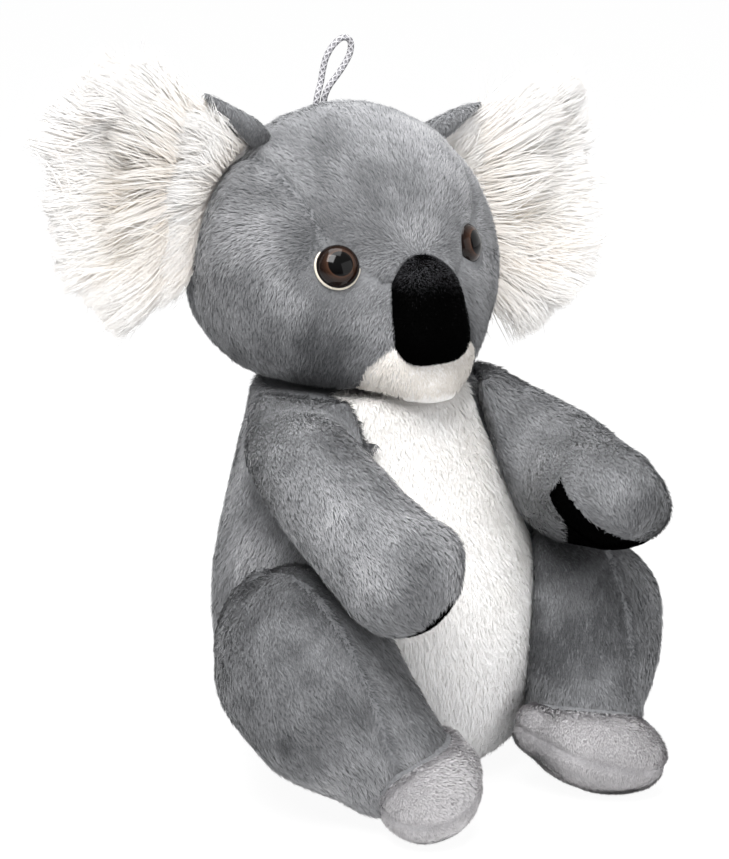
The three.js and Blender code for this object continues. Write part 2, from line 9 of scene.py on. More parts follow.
import bmesh
import bpy
import numpy as np
from mathutils import Matrix, Vector


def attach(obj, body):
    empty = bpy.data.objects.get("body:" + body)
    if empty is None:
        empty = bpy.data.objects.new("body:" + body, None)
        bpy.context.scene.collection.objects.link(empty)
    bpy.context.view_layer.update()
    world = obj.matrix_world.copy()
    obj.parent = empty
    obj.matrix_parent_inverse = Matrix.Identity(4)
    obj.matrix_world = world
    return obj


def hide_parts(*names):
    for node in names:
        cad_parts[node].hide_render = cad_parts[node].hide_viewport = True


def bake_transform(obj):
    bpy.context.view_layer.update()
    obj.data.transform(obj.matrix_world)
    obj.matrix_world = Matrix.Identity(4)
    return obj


MM = 0.001
OFF_FLOOR = 0.05  # how far the lowest pile and skin stay over the floor
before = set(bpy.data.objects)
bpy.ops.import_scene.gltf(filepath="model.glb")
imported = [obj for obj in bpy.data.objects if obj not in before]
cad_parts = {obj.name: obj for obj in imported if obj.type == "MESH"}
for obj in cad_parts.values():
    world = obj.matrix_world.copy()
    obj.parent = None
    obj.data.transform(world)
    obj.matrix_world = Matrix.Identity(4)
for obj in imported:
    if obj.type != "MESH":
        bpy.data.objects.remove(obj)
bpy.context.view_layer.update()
SIDES = (("right", -1), ("left", 1))
UP = np.array([0.0, 0.0, 1.0])

# The camera stands 35 degrees to the toy's right and 14 degrees above the level, 1.3 m away
CAMERA_AZIMUTH = radians(35)
CAMERA_ELEVATION = radians(14)
CAMERA_DISTANCE = 1300
CAMERA_LENS = 145.3
CAMERA_AIM = (-4, 125)  # to the right of the picture, and above the floor


def add_to_scene(name, data):
    piece = bpy.data.objects.new(name, data)
    bpy.context.scene.collection.objects.link(piece)
    return piece


def stand(piece, azimuth, elevation, distance, aim):
    """Stands a camera or a lamp away from a place that it looks at."""
    way = Vector((-sin(azimuth) * cos(elevation), -cos(azimuth) * cos(elevation), sin(elevation)))
    piece.location = (Vector(aim) + way * distance) * MM
    piece.rotation_euler = (-way).to_track_quat("-Z", "Y").to_euler()


def make_camera():
    data = bpy.data.cameras.new("camera")
    data.lens = CAMERA_LENS
    data.sensor_width = 36
    camera = add_to_scene("camera", data)
    across, up = CAMERA_AIM
    aim = (across * cos(CAMERA_AZIMUTH), -across * sin(CAMERA_AZIMUTH), up)
    stand(camera, CAMERA_AZIMUTH, CAMERA_ELEVATION, CAMERA_DISTANCE, aim)
    bpy.context.scene.camera = camera


make_camera()

# Materials


def linear(hex_code):
    """An sRGB hex colour as linear numbers with an alpha of 1."""
    parts = [int(hex_code[i:i + 2], 16) / 255 for i in (0, 2, 4)]
    return [p / 12.92 if p <= 0.04045 else ((p + 0.055) / 1.055) ** 2.4 for p in parts] + [1]


def add_node(material, kind, links=(), **settings):
    """Adds a node. Settings go to its sockets by name, or else to its own properties. Each link is a socket
    and a value for it, or a socket, another node and that node's output."""
    node = material.node_tree.nodes.new("ShaderNode" + kind)
    for name, value in settings.items():
        socket = node.inputs.get(name.replace("_", " "))
        if socket is not None:
            socket.default_value = value
        else:
            setattr(node, name, value)
    for socket, *source in links:
        if len(source) == 1:
            node.inputs[socket].default_value = source[0]
        else:
            link(material, *source, node, socket)
    return node


def link(material, node, output, target, socket):
    material.node_tree.links.new(target.inputs[socket], node.outputs[output])


def sum_node(material, operation, *inputs, kind="Math"):
    """A node that reckons with its inputs. Each is a value, or a node and an output of it."""
    links = [(i, *(source if isinstance(source, tuple) else (source,))) for i, source in enumerate(inputs)]
    return add_node(material, kind, links, operation=operation)


def split_map(material, name):
    """The two numbers of a mesh's map, X and Y."""
    place = add_node(material, "UVMap", uv_map=name)
    return add_node(material, "SeparateXYZ", [("Vector", place, "UV")])


def ramp(material, factor, output, stops):
    """A colour ramp over another node's output. Each stop is a place and a colour."""
    node = add_node(material, "ValToRGB", [("Fac", factor, output)])
    elements = node.color_ramp.elements
    while len(elements) < len(stops):
        elements.new(0.5)
    for element, (place, colour) in zip(elements, stops):
        element.position = place
        element.color = linear(colour)
    return node


def new_material(name, **settings):
    material = bpy.data.materials.new(name)
    material.use_nodes = True
    shader = material.node_tree.nodes["Principled BSDF"]
    for socket, value in settings.items():
        shader.inputs[socket.replace("_", " ")].default_value = value
    return material, shader


def paint(material, shader, colour, height, output, strength, distance):
    """Gives a shader its colour from a ramp, and its relief from another node's output."""
    link(material, colour, "Color", shader, "Base Color")
    relief = add_node(material, "Bump", [("Height", height, output)], Strength=strength, Distance=distance)
    link(material, relief, "Normal", shader, "Normal")
    return material


def pile_material(name, dark, middle, light, root_shade, sheen=0.15, gloss=0.1):
    """Polyester pile: dull, with a soft sheen. Across its map runs the strand's tone and up it the way from
    the root, which sits in the shade of its neighbours and is darkened with painted shade, to the tip."""
    material, shader = new_material(
        name, Roughness=0.85, Specular_IOR_Level=gloss, Sheen_Weight=sheen, Sheen_Roughness=0.5)
    split = split_map(material, "OFBake")
    tone = ramp(material, split, "X", [(0, dark), (0.5, middle), (1, light)])
    # Painted shade: the colour darkens from tip to root, where the strands shade each other
    shade = ramp(material, split, "Y", [(0, root_shade), (0.75, "ffffff")])
    mix = add_node(material, "Mix", [(0, 1), (6, tone, "Color"), (7, shade, "Color")], data_type="RGBA",
                   blend_type="MULTIPLY")
    link(material, mix, 2, shader, "Base Color")
    return material


def cloth_material(name, dark, light, grain=1.2, bump=0.3, roughness=0.95, gloss=0.2):
    """Matt cloth with a fine uneven grain, such as the backing that shows where the pile parts."""
    material, shader = new_material(name, Roughness=roughness, Specular_IOR_Level=gloss)
    place = add_node(material, "TexCoord")
    fine = add_node(material, "TexNoise", [("Vector", place, "Object")], Scale=1 / (grain * MM), Detail=3)
    colour = ramp(material, fine, "Fac", [(0.3, dark), (0.7, light)])
    return paint(material, shader, colour, fine, "Fac", bump, grain * MM / 2)


# What each finish gives the eye: grey plush has light and dark strokes, partly random and partly painted
# light of pile brushed both ways
GREY_PILE = pile_material("brushed_grey_plush_pile", "4e4f51", "919294", "bfbfc1", "a4a4a6")
WHITE_PILE = pile_material("white_plush_pile", "dfdad3", "f9f8f6", "ffffff", "f6f4f2")
# The feet's nap is too short to show strokes, and has no sheen at its edges
PALE_PILE = pile_material("pale_grey_napped_plush_pile", "989698", "cac8c9", "dedcde", "c2c0c2", sheen=0)
# The nose and the palms are near black; the grey at the light end paints the sheen on the nose's top
BLACK_PILE = pile_material(
    "black_napped_plush_pile", "000000", "020202", "4a4a4d", "a0a0a0", sheen=0, gloss=0.02)
# The ears' hair is white at its tips, and toned darker and creamier towards the middle of the ear
HAIR = pile_material("long_white_acrylic_hair", "dbcfbd", "f1eeea", "fbfaf9", "f2ece5", sheen=0.25)
GREY_CLOTH = cloth_material("grey_knitted_backing", "67686a", "7e7f81")
WHITE_CLOTH = cloth_material("white_knitted_backing", "e8e5e2", "f6f4f2")
PALE_CLOTH = cloth_material("pale_napped_cloth", "a2a0a2", "b8b6b8")
BLACK_CLOTH = cloth_material("black_napped_cloth", "010101", "030303", gloss=0.02)

# Shapes: the same sizes as the solids, in millimetres
NECK = 146
TORSO_HALF = (66, 62)
TORSO_SET = 9
SEAT_SEAM = 7.2  # its height
TORSO_LEAN = tan(radians(6.5))
TORSO_PROFILE = np.array([
    (0, 0), (0.34, 0), (0.6, 0.015), (0.8, 0.09), (0.94, 0.21), (0.99, 0.34), (0.965, 0.5),
    (0.885, 0.65), (0.785, 0.8), (0.7, 0.92), (0.625, 1.03), (0.42, 1.14), (0, 1.18)])
BELLY_OUTLINE = np.array([
    (0.4, -0.2), (0.62, 0.05), (0.81, 0.22), (0.85, 0.38), (0.73, 0.58), (0.56, 0.78), (0.42, 0.95),
    (0.38, 1.3)])
HEAD_CENTRE = np.array([0, 21.0, NECK + 36])
HEAD_HALF = (63, 52)
HEAD_RISE, HEAD_DROP = 65, 45
MUZZLE_REACH, MUZZLE_DIP, MUZZLE_SPREAD = 22, radians(37), radians(34)
NECK_Y, NECK_RADIUS = 7.6, 43.5
CHIN_DROOP = 7.2  # how far the chin hangs below the neck's level, outside it
CHIN_REACH, CHIN_SPREAD = 6, radians(34)
CHIN_WAY, CHIN_HANG = np.array([0, -0.84, -0.54]), np.array([0, -0.7, -0.71])
EYE_DENT, EYE_DENT_SPREAD = 3, radians(13)
CROWN_SEAM = 12  # behind the head's middle
CROWN_Y = HEAD_CENTRE[1] + CROWN_SEAM
FOREHEAD_OUTLINE = np.array([
    (0.2, 0.08), (0.3, 0.12), (0.42, 0.2), (0.52, 0.34), (0.58, 0.51), (0.62, 0.66), (0.64, 0.8),
    (0.66, 1.3)])
CHIN_OUTLINE = np.array([
    (0.2, -0.34), (0.28, -0.39), (0.36, -0.5), (0.39, -0.6), (0.38, -0.75), (0.38, -1.3)])
EYE_AT = {-1: (-32.4, 13.5), 1: (30, 15)}  # across and up on the face
EYE_SET_IN = {-1: 0.8, 1: 3.8}
EYE_TURN, EYE_LIFT = {-1: 20, 1: 30}, {-1: 24, 1: 14}  # degrees outwards and up
EYE_RADIUS, EYE_DOME = 8, 5.4
NOSE_HALF = (14.4, 12, 20)
NOSE_ASIDE, NOSE_BELOW, NOSE_SET_IN, NOSE_TILT = -1.2, -0.4, 5.5, radians(12)
EAR_BEYOND, EAR_HALF, EAR_SET, EAR_ABOVE, EAR_SKEW = 24, (34, 44), 13, 28, 9
EAR_CUP, EAR_FAN, EAR_SWEEP, EAR_ROLL = 10, 0.1, radians(-4), radians(12)
EAR_BACK = 3.6  # the thickness of an ear's cloth


def hermite(a, b, leaving, arriving, w):
    """Places between a and b for the ways in which the curve leaves one and arrives at the other."""
    return ((2 * a - 2 * b + leaving + arriving) * w ** 3
            + (-3 * a + 3 * b - 2 * leaving - arriving) * w ** 2 + leaving * w + a)


def spans(points, share):
    """The span of a line that each share of its whole run falls in, and how far along that span."""
    at = np.clip(share, 0, 1) * (len(points) - 1)
    i = np.minimum(at.astype(int), len(points) - 2)
    return i, (at - i)[:, None]


def catmull(points, share):
    """Points on a uniform spline through the given ones, for shares of its whole run."""
    points = np.asarray(points, float)
    i, w = spans(points, share)
    p1, p2 = points[i], points[i + 1]
    p0, p3 = points[np.maximum(i - 1, 0)], points[np.minimum(i + 2, len(points) - 1)]
    return hermite(p1, p2, (p2 - p0) / 2, (p3 - p1) / 2, w)


def smooth_curve(points, share):
    """Points on a spline whose bends are spread by the spacing of its points."""
    points = np.asarray(points, float)
    i, w = spans(points, share)
    held = np.vstack([2 * points[0] - points[1], points, 2 * points[-1] - points[-2]])
    x0, x1, x2, x3 = (held[i + k] for k in range(4))
    d0, d1, d2 = (np.maximum(np.sqrt(norm(b - a)), 1e-4)[:, None]
                  for a, b in ((x0, x1), (x1, x2), (x2, x3)))
    leaving = ((x1 - x0) / d0 - (x2 - x0) / (d0 + d1) + (x2 - x1) / d1) * d1
    arriving = ((x2 - x1) / d1 - (x3 - x1) / (d1 + d2) + (x3 - x2) / d2) * d1
    return hermite(x1, x2, leaving, arriving, w)


def norm(vectors):
    return np.linalg.norm(vectors, axis=-1)


def unit(vectors):
    return vectors / np.maximum(norm(vectors)[..., None], 1e-12)


def dot(a, b):
    return (a * b).sum(-1, keepdims=True)


def swell(ways, towards, spread):
    """A soft bump that is 1 towards a direction and fades over the spread angle."""
    angle = np.arccos(np.clip(ways @ towards, -1, 1))
    return np.exp(-(angle / spread) ** 2)[:, None]


def face_point(x, z):
    high = HEAD_RISE if z > 0 else HEAD_DROP
    return np.array([x, -HEAD_HALF[1] * sqrt(1 - (x / HEAD_HALF[0]) ** 2 - (z / high) ** 2), z])


MUZZLE_WAY = np.array([0, -cos(MUZZLE_DIP), -sin(MUZZLE_DIP)])
EGG_EYES = [face_point(*EYE_AT[side]) for _, side in SIDES]


def on_head(egg):
    ways = unit(egg)
    points = egg + HEAD_CENTRE + MUZZLE_REACH * swell(ways, MUZZLE_WAY, MUZZLE_SPREAD) * MUZZLE_WAY
    points = points + CHIN_REACH * swell(ways, CHIN_WAY, CHIN_SPREAD) * CHIN_HANG
    for eye in EGG_EYES:
        points = points - EYE_DENT * swell(ways, unit(eye), EYE_DENT_SPREAD) * ways
    return points


def head_form(ways):
    high = np.where(ways[:, 2] > 0, HEAD_RISE, HEAD_DROP)
    points = on_head(np.column_stack([ways[:, :2] * HEAD_HALF, ways[:, 2] * high]))
    past_neck = np.hypot(points[:, 0], points[:, 1] - NECK_Y) - NECK_RADIUS
    droop = CHIN_DROOP * np.clip(past_neck / 2.5, 0, 1) * (points[:, 1] < 0)
    points[:, 2] = np.maximum(points[:, 2], NECK + 0.3 - droop)
    return points


def torso_form(ways):
    share = np.arccos(np.clip(-ways[:, 2], -1, 1)) / pi
    radius, height = catmull(TORSO_PROFILE, share).T
    turn = np.arctan2(ways[:, 1], ways[:, 0])
    z = height * NECK - 0.5
    return np.column_stack([
        radius * TORSO_HALF[0] * np.cos(turn),
        radius * TORSO_HALF[1] * np.sin(turn) - TORSO_SET + z * TORSO_LEAN,
        np.clip(z, 0.2, NECK - 0.3)])


def around_torso(points):
    """Each point's distance out from the torso's axis, in shares of its surface there, and the axis."""
    line = catmull(TORSO_PROFILE, np.linspace(0, 1, 200))
    high = points[:, 2]
    radius = np.interp(high / NECK, np.maximum.accumulate(line[:, 1]), line[:, 0])
    axis = np.column_stack([0 * high, high * TORSO_LEAN - TORSO_SET, high])
    out = (points - axis)[:, :2] / TORSO_HALF
    return norm(out) / np.maximum(radius, 1e-3), axis


def off_torso(points, gap):
    """Moves what lies in the torso out to its surface."""
    far, axis = around_torso(points)
    out = points - axis
    reach = norm(out)
    surface = reach / np.maximum(far, 1e-6) + gap
    scale = np.where(reach < surface, surface / np.maximum(reach, 1e-6), 1)
    return axis + out * scale[:, None]


class Limb:
    """A round-ended form that swells and tapers along a curve."""

    def __init__(self, points, stations):
        self.points, self.stations = points, stations
        line = smooth_curve(points, np.linspace(0, 1, 60))
        self.run = norm(np.diff(line, axis=0)).sum()

    def frame(self, share):
        at = smooth_curve(self.points, share)
        along = unit(smooth_curve(self.points, share + 1e-3) - smooth_curve(self.points, share - 1e-3))
        across = unit(np.cross(along, UP))
        return at, along, across, np.cross(across, along), smooth_curve(self.stations, share)

    def form(self, ways):
        first, last = min(self.stations[0]), min(self.stations[-1])
        start = first * pi / 2
        s = np.arccos(np.clip(-ways[:, 1], -1, 1)) / pi * (self.run + (first + last) * pi / 2)
        at, along, across, rise, size = self.frame(np.clip((s - start) / self.run, 0, 1))
        past = np.minimum(s / first - pi / 2, 0) + np.maximum((s - start - self.run) / last, 0)
        ring = unit(ways * (1, 0, 1)) * np.cos(past)[:, None]
        return (at + along * (np.sin(past) * size.min(1))[:, None]
                + across * (ring[:, 0] * size[:, 0])[:, None] + rise * (ring[:, 2] * size[:, 1])[:, None])

    def depth(self, points):
        """How far inside the limb each point lies, as a share of its size: 0 in the middle, 1 on it."""
        best = np.full(len(points), 9.0)
        for at, along, across, rise, size in zip(*self.frame(np.linspace(0, 1, 24))):
            off = points - at
            parts = (off @ along / size.min(), off @ across / size[0], off @ rise / size[1])
            best = np.minimum(best, np.linalg.norm(parts, axis=0))
        return best


SHOULDER_Z, ARM_DROP = NECK - 21, 24.5
BUMP_REACH, BUMP_FADE = 40, 20  # how far from its middle a bump is whole, and over what length it fades
# Bumps and dents of the hands, the far elbow and the knees that the photograph shows: each one's way from
# the middle, its height, and its spread in degrees
HAND_BUMPS = {
    -1: [((0.74, -0.34, 0.58), 5, 34)],
    1: [((0.8, -0.56, -0.2), 3, 30), ((-0.2, -0.2, -1), -3.5, 40), ((-0.68, 0.27, -0.69), -8, 28)]}
ELBOW_BUMPS = {-1: [], 1: [((0.3, -0.2, 1), 3, 50), ((-0.5, -0.3, -0.8), 4, 45)]}
KNEE_BUMPS = [((0, 0.05, 1), 5, 38), ((0.67, 0.26, -0.69), -4, 26)]
FAR_KNEE_BUMPS = {-1: [], 1: [((0.77, -0.39, 0.48), 4, 28)]}


def arm_limb(side):
    shoulder = np.array([side * 43, -12, SHOULDER_Z])
    hand = np.array([side * 46, -12 - 68.5, SHOULDER_Z - ARM_DROP + side * 7])
    elbow = shoulder + (hand - shoulder) * 0.45 + (side * 9, 0, 0)
    elbow[2] = SHOULDER_Z - ARM_DROP * 0.45 + 2 - side * 4.5
    return Limb([shoulder, elbow, hand], [(20, 20), (21, 21), (23, 21.5)])


def leg_limb(side):
    points = [(side * 52, -18, 54), (side * 60, -44, 48), (side * 45, -73, 25)]
    return Limb(points, [(28, 33), (33, 37), (22, 24)])


def bumped(points, middle, bumps, side=1):
    """Raises a soft bump on a form for each way from its middle."""
    from_middle = unit(points - middle)
    far = norm(points - middle)[:, None]
    near = np.clip((BUMP_REACH - far) / BUMP_FADE + 1, 0, 1)
    for way, height, spread in bumps:
        way = unit(np.array(way) * (side, 1, 1))
        points = points + height * swell(from_middle, way, radians(spread)) * near * way
    return points


def arm_form(ways, side):
    limb = LIMBS["arm", side]
    points = bumped(limb.form(ways), limb.points[-1], HAND_BUMPS[side])
    return off_torso(bumped(points, limb.points[1], ELBOW_BUMPS[side]), LIMB_GAP)


def leg_form(ways, side):
    limb = LIMBS["leg", side]
    points = bumped(limb.form(ways), limb.points[1], KNEE_BUMPS, side)
    points = bumped(points, limb.points[1], FAR_KNEE_BUMPS[side])
    points[:, 2] = np.maximum(points[:, 2], 0.2)
    return off_torso(points, LIMB_GAP)


LIMBS = {(part, side): limb(side)
         for _, side in SIDES for part, limb in (("arm", arm_limb), ("leg", leg_limb))}
FOOT_PLACE = (38, -87.5)  # of its middle, to the side and forward
FOOT_HALF = (20, 28, 17)
FOOT_SPLAY, FOOT_PITCH = radians(46), radians(14)
HEEL_RADIUS, HEEL_SET_IN = 11, 6
FOOT_LOWEST = hypot(FOOT_HALF[2] * cos(FOOT_PITCH), FOOT_HALF[1] * sin(FOOT_PITCH))


def foot_stand(side):
    """How a foot is turned, and where its middle is."""
    turn = Matrix.Rotation(side * FOOT_SPLAY, 3, "Z") @ Matrix.Rotation(FOOT_PITCH, 3, "X")
    return np.array(turn), np.array([side * FOOT_PLACE[0], FOOT_PLACE[1], FOOT_LOWEST - 0.5])


def foot_form(ways, side):
    turn, place = foot_stand(side)
    heel = np.array([0, FOOT_HALF[1] - HEEL_SET_IN, 0])
    # Where the heel's ball stands out of the oval, the surface follows the ball
    towards = unit(ways * FOOT_HALF)
    along = towards @ heel
    inside = HEEL_RADIUS ** 2 - (heel @ heel - along ** 2)
    reach = np.where(inside > 0, along + np.sqrt(np.maximum(inside, 0)), 0)
    points = towards * np.maximum(norm(ways * FOOT_HALF), reach)[:, None] @ turn.T + place
    points[:, 2] = np.maximum(points[:, 2], 0.2)
    return points


def ear_form(places, side):
    """A point of one ear for its place on the disc, across and up in shares of it, and its way from there,
    forward or back, in half-thicknesses."""
    x, y, z = places.T
    fan = 1 - EAR_FAN + EAR_FAN * x
    cup = EAR_CUP * (0.5 - x * x - z * z) / 2
    points = np.column_stack([x * EAR_HALF[0], y * EAR_BACK / 2 + cup, z * EAR_HALF[1] * fan])
    turn = np.array(Matrix.Rotation(-EAR_ROLL, 3, "Y") @ Matrix.Rotation(EAR_SWEEP, 3, "Z"))
    root = HEAD_CENTRE + (HEAD_HALF[0] + EAR_BEYOND, EAR_SET, EAR_ABOVE - side * EAR_SKEW)
    return (points @ turn.T + root) * (side, 1, 1)


EAR_CLOTH = 0.86  # the cloth's share of the disc, from its edge at the head


def on_ear_cloth(ways):
    """The ear's cloth runs on to the line along which it is sewn to the head."""
    places = ways * (EAR_CLOTH, 1, EAR_CLOTH) - (1 - EAR_CLOTH, 0, 0)
    high = places[:, 2]
    to_head = 0.08 + np.where(high > 0, 2.0, 0.6) * high ** 2
    places[:, 0] -= to_head * np.clip(-ways[:, 0] / 0.6, 0, 1)
    return places


# Meshes


def add_object(name, mesh, material):
    mesh.materials.append(material)
    return add_to_scene(name, mesh)


def finished_mesh(bm, name):
    mesh = bpy.data.meshes.new(name)
    bm.to_mesh(mesh)
    bm.free()
    return mesh


def read(items, name, kind=np.float32):
    """The three numbers of that name that each item has."""
    found = np.empty(len(items) * 3, kind)
    items.foreach_get(name, found)
    return found.reshape(-1, 3)


def coordinates(mesh):
    return read(mesh.vertices, "co").astype(float) / MM


def set_coordinates(mesh, points):
    mesh.vertices.foreach_set("co", (points * MM).astype(np.float32).ravel())
    mesh.update()


def vertex_normals(mesh):
    return read(mesh.vertices, "normal").astype(float)


def apply_modifiers(piece):
    graph = bpy.context.evaluated_depsgraph_get()
    finished = bpy.data.meshes.new_from_object(
        piece.evaluated_get(graph), preserve_all_data_layers=True, depsgraph=graph)
    piece.modifiers.clear()
    old, piece.data = piece.data, finished
    bpy.data.meshes.remove(old)


def modify(piece, kind, **settings):
    """Adds a modifier with its settings, and applies it."""
    modifier = piece.modifiers.new(kind.lower(), kind)
    for name, value in settings.items():
        setattr(modifier, name, value)
    apply_modifiers(piece)


# The hanging loop, on the same route as its solid
LOOP_DIAMETER = 2.4
BRAID_RUN, BRAID_TURNS = 2.6, 3  # how far along the cord, and how often round it, its pattern repeats
LOOP_ROUTE = np.array([
    (-4, 0, -1.4), (-2.8, 0.4, 2.6), (-0.4, 1.9, 6.6), (0.8, 2.3, 11), (2.2, 2.2, 15.6), (5.2, 1.6, 20.2),
    (9.2, 0.8, 22.8), (11.8, 0.2, 21.4), (11.6, -0.1, 17.2), (8.6, -0.5, 12.8), (4.8, -0.9, 8.8),
    (1.4, -1.1, 5.4), (-0.2, -0.7, 2.2), (-0.6, 0, -1.4)])


def cord_material():
    """A tight tubular braid of matt thread: the map runs along the cord and round it."""
    material, shader = new_material("braided_grey_cord", Roughness=0.8, Specular_IOR_Level=0.3)
    split = split_map(material, "braid")
    waves = []
    for way in ("ADD", "SUBTRACT"):
        slant = sum_node(material, way, (split, "X"), (split, "Y"))
        turns = sum_node(material, "MULTIPLY", (slant, 0), tau)
        waves.append((sum_node(material, "SINE", (turns, 0)), 0))
    high = sum_node(material, "MAXIMUM", *waves)
    # Darker in the grooves between the threads: painted shade
    colour = ramp(material, high, 0, [(0.0, "858488"), (0.7, "aaa9ac"), (1, "bab9bc")])
    return paint(material, shader, colour, high, 0, 0.8, 0.3 * MM)


def make_loop():
    crown = HEAD_CENTRE + (0, CROWN_SEAM, HEAD_RISE * sqrt(1 - (CROWN_SEAM / HEAD_HALF[1]) ** 2))
    path = smooth_curve(LOOP_ROUTE + crown, np.linspace(0, 1, 40))
    steps = norm(np.diff(path, axis=0))
    data = bpy.data.curves.new("loop_line", "CURVE")
    data.dimensions = "3D"
    data.bevel_depth = LOOP_DIAMETER / 2 * MM
    data.bevel_resolution = 4
    data.use_fill_caps = True
    spline = data.splines.new("POLY")
    spline.points.add(len(path) - 1)
    for point, place in zip(spline.points, path):
        point.co = (*(place * MM), 1)
    line = add_to_scene("loop_line", data)
    mesh = bpy.data.meshes.new_from_object(line.evaluated_get(bpy.context.evaluated_depsgraph_get()))
    bpy.data.objects.remove(line)
    mesh.name = "hanging_loop_cord"
    piece = add_object("hanging_loop_cord", mesh, cord_material())
    points = coordinates(mesh)
    nearest = np.argmin(((points[:, None] - path[None]) ** 2).sum(2), axis=1)
    along = unit(np.gradient(path, axis=0))
    out = unit(points - path[nearest])
    across = unit(np.cross(along, (0, 1, 0)))[nearest]
    turn = np.arctan2(dot(out, np.cross(along[nearest], across))[:, 0], dot(out, across)[:, 0]) / tau
    run = np.insert(np.cumsum(steps), 0, 0)[nearest]
    braid = mesh.uv_layers.new(name="braid").uv
    for face in mesh.polygons:
        face.use_smooth = True
        turns = [turn[i] for i in face.vertices]
        for corner, i in zip(face.loop_indices, face.vertices):
            wrapped = turn[i] + (1 if max(turns) - turn[i] > 0.5 else 0)
            braid[corner].vector = (run[i] / BRAID_RUN, wrapped * BRAID_TURNS)
    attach(piece, "head")
    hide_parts("hanging_loop")


make_loop()

# Seams: how far each point of a surface lies from the nearest one


def half_view(points):
    """Points as seen from the front, with the left half laid over the right."""
    return np.column_stack([np.abs(points[:, 0]), points[:, 2]])


def from_line(points, line):
    """Distance of points from a line that runs up both sides of the front."""
    best = np.full(len(points), np.inf)
    for start, run in zip(line[:-1], np.diff(line, axis=0)):
        off = half_view(points) - start
        off = off - run * np.clip(off @ run / (run @ run), 0, 1)[:, None]
        best = np.minimum(best, norm(off))
    return best


def outline(shares, scale, base):
    return catmull(shares, np.linspace(0, 1, 30)) * scale + (0, base)


BELLY_LINE = outline(BELLY_OUTLINE, (TORSO_HALF[0], NECK), 0)
FOREHEAD_LINE = outline(FOREHEAD_OUTLINE, (HEAD_HALF[0], HEAD_RISE), HEAD_CENTRE[2])
CHIN_LINE = outline(CHIN_OUTLINE, (HEAD_HALF[0], HEAD_DROP), HEAD_CENTRE[2])
FAR = 1e9  # stands for no seam at all


def within(points, line):
    """Whether each point lies nearer the middle than a line that runs up its side."""
    across, high = half_view(points).T
    side, height = line[np.argsort(line[:, 1])].T
    return (across < np.interp(high, height, side)) & (high > height[0]) & (high < height[-1])


def torso_seams(points):
    front = points[:, 1] < -TORSO_SET
    belly = np.where(front, from_line(points, BELLY_LINE), FAR)
    back = np.where(front, FAR, np.abs(points[:, 0]))
    return np.minimum(np.minimum(belly, back), np.abs(points[:, 2] - SEAT_SEAM))


def in_belly(points):
    return (points[:, 1] < -TORSO_SET) & within(points, BELLY_LINE)


def in_forehead(points):
    across, high = half_view(points).T
    edge = FOREHEAD_LINE[np.argsort(FOREHEAD_LINE[:, 0])].T
    return (points[:, 1] < CROWN_Y) & (high > np.interp(across, *edge))


def in_chin(points):
    return (points[:, 1] < HEAD_CENTRE[1]) & within(points, CHIN_LINE)


def head_seams(points, chin_too=True):
    forehead = from_line(points, FOREHEAD_LINE)
    on_chin = chin_too & (points[:, 1] < HEAD_CENTRE[1])
    chin = np.where(on_chin, from_line(points, CHIN_LINE), FAR)
    middle = np.abs(points[:, 0])
    cheeks = np.where(in_forehead(points) | in_chin(points), FAR, middle)
    face = np.minimum(np.minimum(forehead, chin), cheeks)
    behind = points[:, 1] - CROWN_Y
    return np.minimum(np.abs(behind), np.where(behind < 0, face, middle))


def head_partings(points):
    """The seams at which the head's fur is parted: over the chin's seam it mingles."""
    return head_seams(points, False)


def beyond_leg_seam(points):
    """How far out each point lies from the seam that runs up the front of the leg."""
    return np.abs(points[:, 0]) - 50 - 0.17 * points[:, 2]


def leg_seams(points):
    return np.abs(beyond_leg_seam(points))


def foot_seams(side):
    turn, place = foot_stand(side)
    return lambda points: np.abs(((points - place) @ turn)[:, 2])


def no_seam(points):
    return np.full(len(points), FAR)


# Skins


def shaped_ball(name, form, level, material):
    """A ball whose points go where the form says."""
    bm = bmesh.new()
    bmesh.ops.create_icosphere(bm, subdivisions=level, radius=1)
    mesh = finished_mesh(bm, name)
    ways = unit(coordinates(mesh))
    points = form(ways)
    set_coordinates(mesh, points)
    if np.sum(vertex_normals(mesh) * (points - points.mean(0))) < 0:
        mesh.flip_normals()
    mesh.polygons.foreach_set("use_smooth", [True] * len(mesh.polygons))
    return add_object(name, mesh, material)


SKIN_INSET = 1.5  # the pile stands about this far over the backing
LIMB_GAP = 0.4 - 2 * SKIN_INSET  # keeps a limb's backing just off the torso's
VOXEL = 4
PRESSURE, FILL_STEPS = 4, 20
SWELL_CAP = 2.2  # how far the filling may push a skin out
CREASE_WIDTH = 2.2
SHOULDER_FLARE, FLARE_REACH = 10, 14  # how far a sleeve spreads over the shoulder, and over what height
stuffed = []


def stuffed_form(name, form, seams, material, inset=SKIN_INSET, voxel=VOXEL, crease=0.9):
    piece = shaped_ball(name, form, 5, material)
    set_coordinates(piece.data, coordinates(piece.data) - vertex_normals(piece.data) * inset)
    modify(piece, "REMESH", mode="VOXEL", voxel_size=voxel * MM, use_smooth_shade=True)
    modify(piece, "SMOOTH", iterations=4)
    stuffed.append((piece, seams, crease))
    return piece


